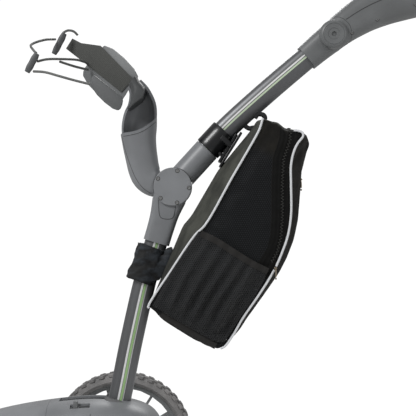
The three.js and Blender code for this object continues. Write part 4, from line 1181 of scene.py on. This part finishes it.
def bracket_arm():
    """The hollow curved arm on the hub, open at its mouth."""
    outer = loft(ARM_LINE, ARM_DEPTHS, ARM_WIDTHS, 2.6, 64, 48)
    lip = [
        (-0.03, 0.787), (-0.008, 0.795), (0.012, 0.7975), (0.028, 0.8025), (0.045, 0.8135), (0.058, 0.827), (0.08, 0.85),
    ]
    mouth = slab([*((p.x, p.z) for p in smooth_line(lip)), (0.06, 0.96), (-0.06, 0.96)], -0.07, 0.016, 0)
    hub_space = disc(HUB_R + 0.001, HUB, -0.06, 0.06, 0, 72)
    arm = carved(outer, arm_cavity(ARM_WALL), mouth, hub_space, hub_stem(0.0006))
    y_in, y_out = 0.007, HUB_CHEEK_IN - 0.0004
    fork = []
    for side in (NEAR, FAR):
        fork.append(disc(HUB_R - 0.004, HUB, side * y_in, side * y_out, 0.0006))
        fork.append(slab([(0.042, 0.716), (0.066, 0.716), HUB, (0.066, 0.676), (0.042, 0.684)], side * y_in, side * y_out, 0.0004))
    skin = Skin(arm)
    piece("arm_moulding", joined(arm, *fork), GREY, stands_for="bracket_arm", sharp=34, edge=0.0007)
    ridge = [(-0.0085, 0.79), (-0.0015, 0.7626), (0.0085, 0.7328), (0.0185, 0.7095), (0.0315, 0.6925), (0.047, 0.6815)]
    for side, word in ((NEAR, "near"), (FAR, "far")):
        seam(f"arm_front_seam_{word}", skin, ridge, "bracket_arm", side)
    seam("arm_mouth_seam", skin, [(-0.005, 0.789), (0.012, 0.7915), (0.029, 0.7965), (0.046, 0.8075), (0.057, 0.8185)], "bracket_arm")


def slanted(bm, lean):
    """Leans a wing out sideways as it runs forward from its foot."""
    for vertex in bm.verts:
        vertex.co.y += lean * (WING_FOOT_X - vertex.co.x)
    return bm


def rounded(points, per_span=4):
    """A closed outline of (x, z) points with its corners softened."""
    closed = smooth_line([points[-1], *points, points[0], points[1]], per_span)
    return [(p.x, p.z) for p in closed[per_span : -2 * per_span]]


def cradle():
    """The yoke in the arm's mouth, the two wings and the strap that take the golf bag."""
    cavity = arm_cavity(ARM_WALL + 0.001)
    yoke = slab([(-0.015, 0.866), (0.018, 0.904), (0.036, 0.889), (0.03, 0.862), (0.006, 0.842), (-0.008, 0.846)], -0.034, 0.044, 0.0015)
    yoke = carved(yoke, cavity, operation="INTERSECT")
    ribs = [
        loft([(-0.006 + 0.007 * i, 0.858 - 0.004 * i), (0.012 + 0.005 * i, 0.89 - 0.005 * i)], 0.0012, 0.03, 6, 16, 2)
        for i in range(3)
    ]
    yoke = joined(yoke, *[carved(rib, cavity, operation="INTERSECT") for rib in ribs])
    piece("yoke_moulding", yoke, TRIM_GREY, stands_for="bracket_yoke", edge=0.0006)
    far_wing = slab(rounded([(-0.049, 0.973), (0.02, 0.907), (0.01, 0.898), (-0.024, 0.856), (-0.094, 0.917), (-0.079, 0.946)]), 0.015, 0.023, 0.0025)
    piece("far_wing_moulding", slanted(far_wing, WING_LEAN), DARK_GREY, stands_for="far_wing")
    near_wing = slab(rounded([(-0.056, 0.9), (-0.059, 0.875), (-0.014, 0.8365), (-0.006, 0.862)]), -0.024, -0.016, 0.0025)
    piece("near_wing_moulding", slanted(near_wing, -WING_LEAN), DARK_GREY, stands_for="near_wing")
    strap = slab([(-0.116, 0.992), (-0.097, 0.981), (-0.056, 0.972), (0.01, 0.902), (-0.014, 0.878), (-0.084, 0.936), (-0.13, 0.973)], 0.0115, 0.0145, 0.0008)
    for vertex in strap.verts:
        vertex[strap.verts.layers.float["along"]] = vertex.co.x * 0.7 - vertex.co.z * 0.7
    piece("wing_strap_webbing", slanted(strap, WING_LEAN), GREY_WEBBING, stands_for="wing_strap")
    for node, low, high, y in (("far_toggle", (-0.15, 0.958), (-0.129, 0.999), 0.08), ("near_toggle", (-0.184, 0.908), (-0.165, 0.943), -0.042)):
        bar = loft([low, high], [0.005, 0.0065, 0.0062, 0.0065, 0.005], [0.0035, 0.0045, 0.0043, 0.0045, 0.0035], 2.6, 28, 12)
        bmesh.ops.translate(bar, verts=bar.verts, vec=(0, y, 0))
        piece(f"{node}_bar", eased(bar, 0.001, 50), TRIM_GREY, stands_for=node)


# ---------------------------------------------------------------- handle
def half_space(at, angle, reach, half_width):
    """A block that reaches from a point in one direction, across the middle plane."""
    return loft([at, away(at, angle, reach)], reach, half_width, 20, 16, 1)


def handle():
    """The handle's shell, the socket that it tilts in, its bosses, bar and grips."""
    outside = lambda: loft(HANDLE_LINE, HANDLE_DEPTHS, HANDLE_WIDTHS, 2.8, 64, 60)
    thin_line = [(0.41, 0.997), *HANDLE_LINE[3:-1], (0.6225, 1.062)]
    inside = loft(thin_line, [0.033, 0.034, 0.038, 0.04, 0.038, 0.032, 0.028], [0.033, 0.033, 0.036, 0.04, 0.044, 0.044, 0.04], 2.8, 40, 30, grow=-0.004)
    turn = lambda radius, half: disc(radius, HANDLE_PIVOT, -half, half, 0, 72)
    back = HANDLE_ANGLE + math.pi
    bore = loft([(0.3, 0.9055), (0.346, 0.944), (0.366, 0.9605)], TUBE_DEPTH + 0.0004, TUBE_WIDTH + 0.0004, TUBE_SQUARENESS, 40, 8)
    slot = carved(turn(0.0265, 0.0084), half_space(HANDLE_PIVOT, HANDLE_ANGLE, 0.15, 0.0084), operation="UNION")
    keep = carved(turn(HANDLE_SEAM_R, 0.08), half_space(HANDLE_PIVOT, back, 0.09, 0.08), operation="UNION")
    socket = carved(carved(outside(), keep, operation="INTERSECT"), slot, bore)
    piece("handle_socket_moulding", socket, HANDLE_GREY, stands_for=("handle_socket", "handle_pin"), sharp=34, edge=0.0007)

    shell = carved(outside(), turn(HANDLE_SEAM_R + 0.0006, 0.08), half_space(HANDLE_PIVOT, back, 0.09, 0.08), inside)
    skin = Skin(shell)
    tongue = joined(turn(0.024, 0.008), loft([HANDLE_PIVOT, away(HANDLE_PIVOT, HANDLE_ANGLE, 0.06)], 0.024, 0.008, 8, 16, 1))
    bar_space = disc(BAR_R + 0.0004, BAR_AT, -0.06, 0.06, 0)
    piece("handle_shell_moulding", carved(joined(shell, tongue), bar_space), HANDLE_GREY, stands_for="handle_shell", sharp=34, edge=0.0007)
    for side, word in ((NEAR, "near"), (FAR, "far")):
        ridge = [(0.412, 1.008), (0.44, 1.026), (0.475, 1.043), (0.52, 1.057), (0.57, 1.0655), (0.615, 1.0675)]
        seam(f"handle_ridge_{word}", skin, ridge, "handle_shell", side, 0.0007)
        for i, at in enumerate(((0.4235, 0.9835), (0.471, 1.008), (0.541, 1.035))):
            fitted_screw(f"handle_screw_{word}_{i}", skin, at, "handle_shell", side, 0.0026)

    for side, node in ((NEAR, "pivot_cap_near"), (FAR, "pivot_cap_far")):
        y = lambda out: side * out
        profile = [
            (0, y(0.022)), (0.027, y(0.022)), (0.027, y(0.0365)), (0.0262, y(0.0385)), (0.0215, y(0.0425)),
            (0.0205, y(0.0428)), (0.0197, y(0.0418)), (0.0188, y(0.0424)), (0.0115, y(0.0416)), (0.0105, y(0.0405)),
            (0.0095, y(0.0408)), (0.0048, y(0.0404)), (0.0042, y(0.0375)), (0, y(0.0375)),
        ]
        piece(f"{node}_boss", spun(profile, HANDLE_PIVOT, 72, closed=False), HANDLE_GREY, stands_for=node, sharp=32)

    piece("handle_bar_tube", spun([(BAR_R - 0.002, -BAR_HALF), (BAR_R, -BAR_HALF), (BAR_R, BAR_HALF), (BAR_R - 0.002, BAR_HALF)], BAR_AT, 48), STEEL, stands_for="handle_bar")
    for side, node in ((NEAR, "near_grip"), (FAR, "far_grip")):
        inner = BAR_HALF + 0.004 - GRIP_LENGTH
        outer = BAR_HALF + 0.004
        profile = [(BAR_R + 0.0004, side * (BAR_HALF + 0.0004)), (BAR_R + 0.0004, side * inner), (GRIP_R, side * inner)]
        ribs = 16
        for i in range(ribs):
            start = inner + 0.008 + (GRIP_LENGTH - 0.02) * i / ribs
            profile += [(GRIP_R, side * start), (GRIP_R - 0.0012, side * (start + 0.0012)), (GRIP_R - 0.0012, side * (start + 0.0036)), (GRIP_R, side * (start + 0.0048))]
        profile += [(GRIP_R, side * (outer - 0.002)), (GRIP_R - 0.002, side * outer), (0, side * outer), (0, side * (BAR_HALF + 0.0004))]
        piece(f"{node}_sleeve", spun(profile, BAR_AT, 40, closed=True), GRIP_RUBBER, stands_for=node, sharp=30)


# ---------------------------------------------------------------- chassis
def housing(grow):
    """The chassis housing's whole form, grown or shrunk all round."""
    steps = 72
    bm = new_shape()
    sections = []
    tops = smooth_line(HOUSING_TOP)
    bottoms = smooth_line([(x, z) for (x, _), z in zip(HOUSING_TOP, HOUSING_BOTTOM)])
    widths = smooth_line([(x, w) for (x, _), w in zip(HOUSING_TOP, HOUSING_WIDTHS)])
    start, end = HOUSING_TOP[0][0] - grow, HOUSING_TOP[-1][0] + grow
    for i in range(steps + 1):
        x = start + (end - start) * i / steps
        top, bottom, width = (height_at(line, x) for line in (tops, bottoms, widths))
        rounding = 0.72 + 0.28 * min(1, max(0, x - start, end - x) and max(0, min(x - start, end - x)) / 0.012) ** 0.5
        middle = Vector((x, 0, (top + bottom) / 2))
        first = Vector((0, 0, ((top - bottom) / 2 + grow) * rounding))
        second = UP_Y * ((width + grow) * rounding)
        sections.append(section(bm, middle, first, second, x, 3, 72))
    return skinned(bm, sections)


def height_at(line, x):
    """The height of a line of points at x."""
    for p, q in zip(line, line[1:]):
        if p.x <= x <= q.x:
            return between(p.z, q.z, p.x, q.x, x)
    return line[0].z if x < line[0].x else line[-1].z


def boot(grow=0.0):
    return loft(BOOT_LINE, BOOT_DEPTHS, BOOT_WIDTHS, 3.2, 72, 24, grow=grow)


def chassis():
    """The housing in its upper and lower halves, its lid and lock, and the boot that holds the mast."""
    bay = lambda gap: block((0.14 + 2 * gap, 0.4, 0.1), (-0.216, 0, 0.294 - gap), edge=0)
    above = block((0.9, 0.4, 0.3), (-0.18, 0, SPLIT_Z + 0.15), edge=0)
    below = block((0.9, 0.4, 0.3), (-0.18, 0, SPLIT_Z - 0.1504), edge=0)
    fork_space = block((0.06, 0.04, 0.06), (-0.436, 0, 0.176), edge=0)
    shell = lambda: carved(housing(0), housing(-HOUSING_WALL))
    fold_slot = block((0.102, 0.038, 0.14), (-0.077, 0, 0.29), edge=0)
    lock_slot = block((0.037, 0.013, 0.024), (-0.084, -0.052, 0.2915), edge=0)
    upper = carved(carved(shell(), above, operation="INTERSECT"), bay(0.0004), boot(0.0004), fold_slot, lock_slot)
    skin = Skin(upper)
    piece("upper_housing_moulding", upper, GREY, stands_for="upper_housing", sharp=34, edge=0.0009)
    piece("bay_lid_moulding", carved(shell(), bay(0), operation="INTERSECT"), GREY, stands_for="bay_lid", sharp=34, edge=0.0009)
    axle_space = disc(0.0194, REAR_AXLE, -0.2, 0.2, 0)
    lower = carved(carved(shell(), below, operation="INTERSECT"), axle_space, fork_space)
    lugs = [slab([(0.064, 0.172), (0.09, 0.176), (0.09, 0.192), (0.064, 0.194)], y - 0.003, y + 0.003, 0.0015) for y in (-0.0334, 0.0334)]
    piece("lower_housing_moulding", joined(lower, *lugs), DARK_GREY, stands_for="lower_housing", sharp=34, edge=0.0009)
    seam("housing_side_seam", skin, [(-0.063, 0.276), (-0.064, 0.25), (-0.066, 0.198)], "upper_housing")
    seam("housing_side_seam_far", skin, [(-0.063, 0.276), (-0.064, 0.25), (-0.066, 0.198)], "upper_housing", FAR)

    turning = disc(0.032, MAST_PIN, -0.0174, 0.0174, 0, 64)
    front = slab([(-0.2, 0.15), (-0.2, 0.4), (0.012, 0.4), MAST_PIN, (-0.036, 0.15)], -0.0174, 0.0174, 0)
    bore = loft(MAST_LINE[:4], TUBE_DEPTH + 0.0004, TUBE_WIDTH + 0.0004, TUBE_SQUARENESS, 48, 16)
    piece("boot_moulding", carved(boot(), bore, turning, front), BOOT_GREY, stands_for=("mast_boot", "mast_pin"), sharp=34, edge=0.0009)

    slide = block((0.008, 0.012, 0.015), (-0.092, -0.052, 0.2895), edge=0.0012)
    piece("fold_lock_knob", slide, DARK_GREY, stands_for="fold_lock_slide")
    for node, finish in (
        ("near_axle_tube", DARK_GREY), ("far_axle_tube", DARK_GREY), ("front_fork", DARK_GREY), ("lower_cradle", DARK_GREY),
        ("base_rest", GRIP_RUBBER), ("rear_axle", STEEL), ("front_axle", STEEL), ("brake_pin", STEEL),
    ):
        refined(node, finish)
    refined("brake_pedal", BLACK, 0.0012)
    for i in range(6):
        tread = block((0.0022, 0.05, 0.0012), (0.0885 + 0.0052 * i, 0, 0.1994 + 0.0026 * i), math.atan2(16, 36), 0.0004)
        piece(f"pedal_rib_{i}", tread, BLACK, like="brake_pedal")


# ---------------------------------------------------------------- wheels
def wheel(prefix, radius, width, axle, y, lugs):
    """A wheel: its tyre with rows of lugs, and its spoked rim."""
    half = width / 2
    tread = radius - 0.0045
    profile = [
        (tread, y - half * 0.55), (tread + 0.001, y), (tread, y + half * 0.55), (tread - 0.005, y + half * 0.86),
        (tread - 0.0115, y + half), (radius - 0.0195, y + half * 0.86), (radius - 0.024, y + half * 0.52),
        (radius - 0.024, y - half * 0.52), (radius - 0.0195, y - half * 0.86), (tread - 0.0115, y - half),
        (tread - 0.005, y - half * 0.86),
    ]
    tyre = spun(profile, axle, 96)
    for row in (-1, 0, 1):
        for i in range(lugs):
            turn = 2 * math.pi * (i + 0.5 * (row == 0)) / lugs
            size = (0.0062, half * (0.44 if row else 0.5), radius * 2 * math.pi / lugs * 0.52)
            lug = block(size, (0, 0, 0), 0, 0.0009)
            lean = Matrix.Rotation(0.35 * row, 4, "X")
            out = Matrix.Translation((radius - 0.0034, row * half * 0.58, 0))
            place = Matrix.Translation((axle[0], y, axle[1])) @ Matrix.Rotation(turn, 4, "Y") @ out @ lean
            bmesh.ops.transform(lug, matrix=place, verts=lug.verts)
            mesh = bpy.data.meshes.new("lug")
            lug.to_mesh(mesh)
            tyre.from_mesh(mesh)
            bpy.data.meshes.remove(mesh)
            lug.free()
    piece(f"{prefix}_tyre_rubber", tyre, RUBBER, stands_for=f"{prefix}_tyre", sharp=30)
    refined(f"{prefix}_rim", DARK_GREY, 0.0012)


def wheels():
    for side, word in ((NEAR, "near"), (FAR, "far")):
        y = side * 0.28
        wheel(f"rear_{word}", REAR_WHEEL_R, 0.058, REAR_AXLE, y, 44)
        out = lambda reach: y + side * reach
        profile = [
            (0, out(0.025)), (0.024, out(0.025)), (0.0235, out(0.029)), (0.0215, out(0.0315)), (0.0145, out(0.0335)),
            (0.0135, out(0.0328)), (0.0125, out(0.0336)), (0, out(0.0345)),
        ]
        piece(f"rear_{word}_cap", spun(profile, REAR_AXLE, 48, closed=False), BLACK, stands_for=f"rear_{word}_hub_cap")
    wheel("front", FRONT_WHEEL_R, 0.044, FRONT_AXLE, 0, 36)


studio()
cords()
mast()
collar()
bracket_arm()
cradle()
handle()
chassis()
wheels()
accessory_bag()
zip_pulls()
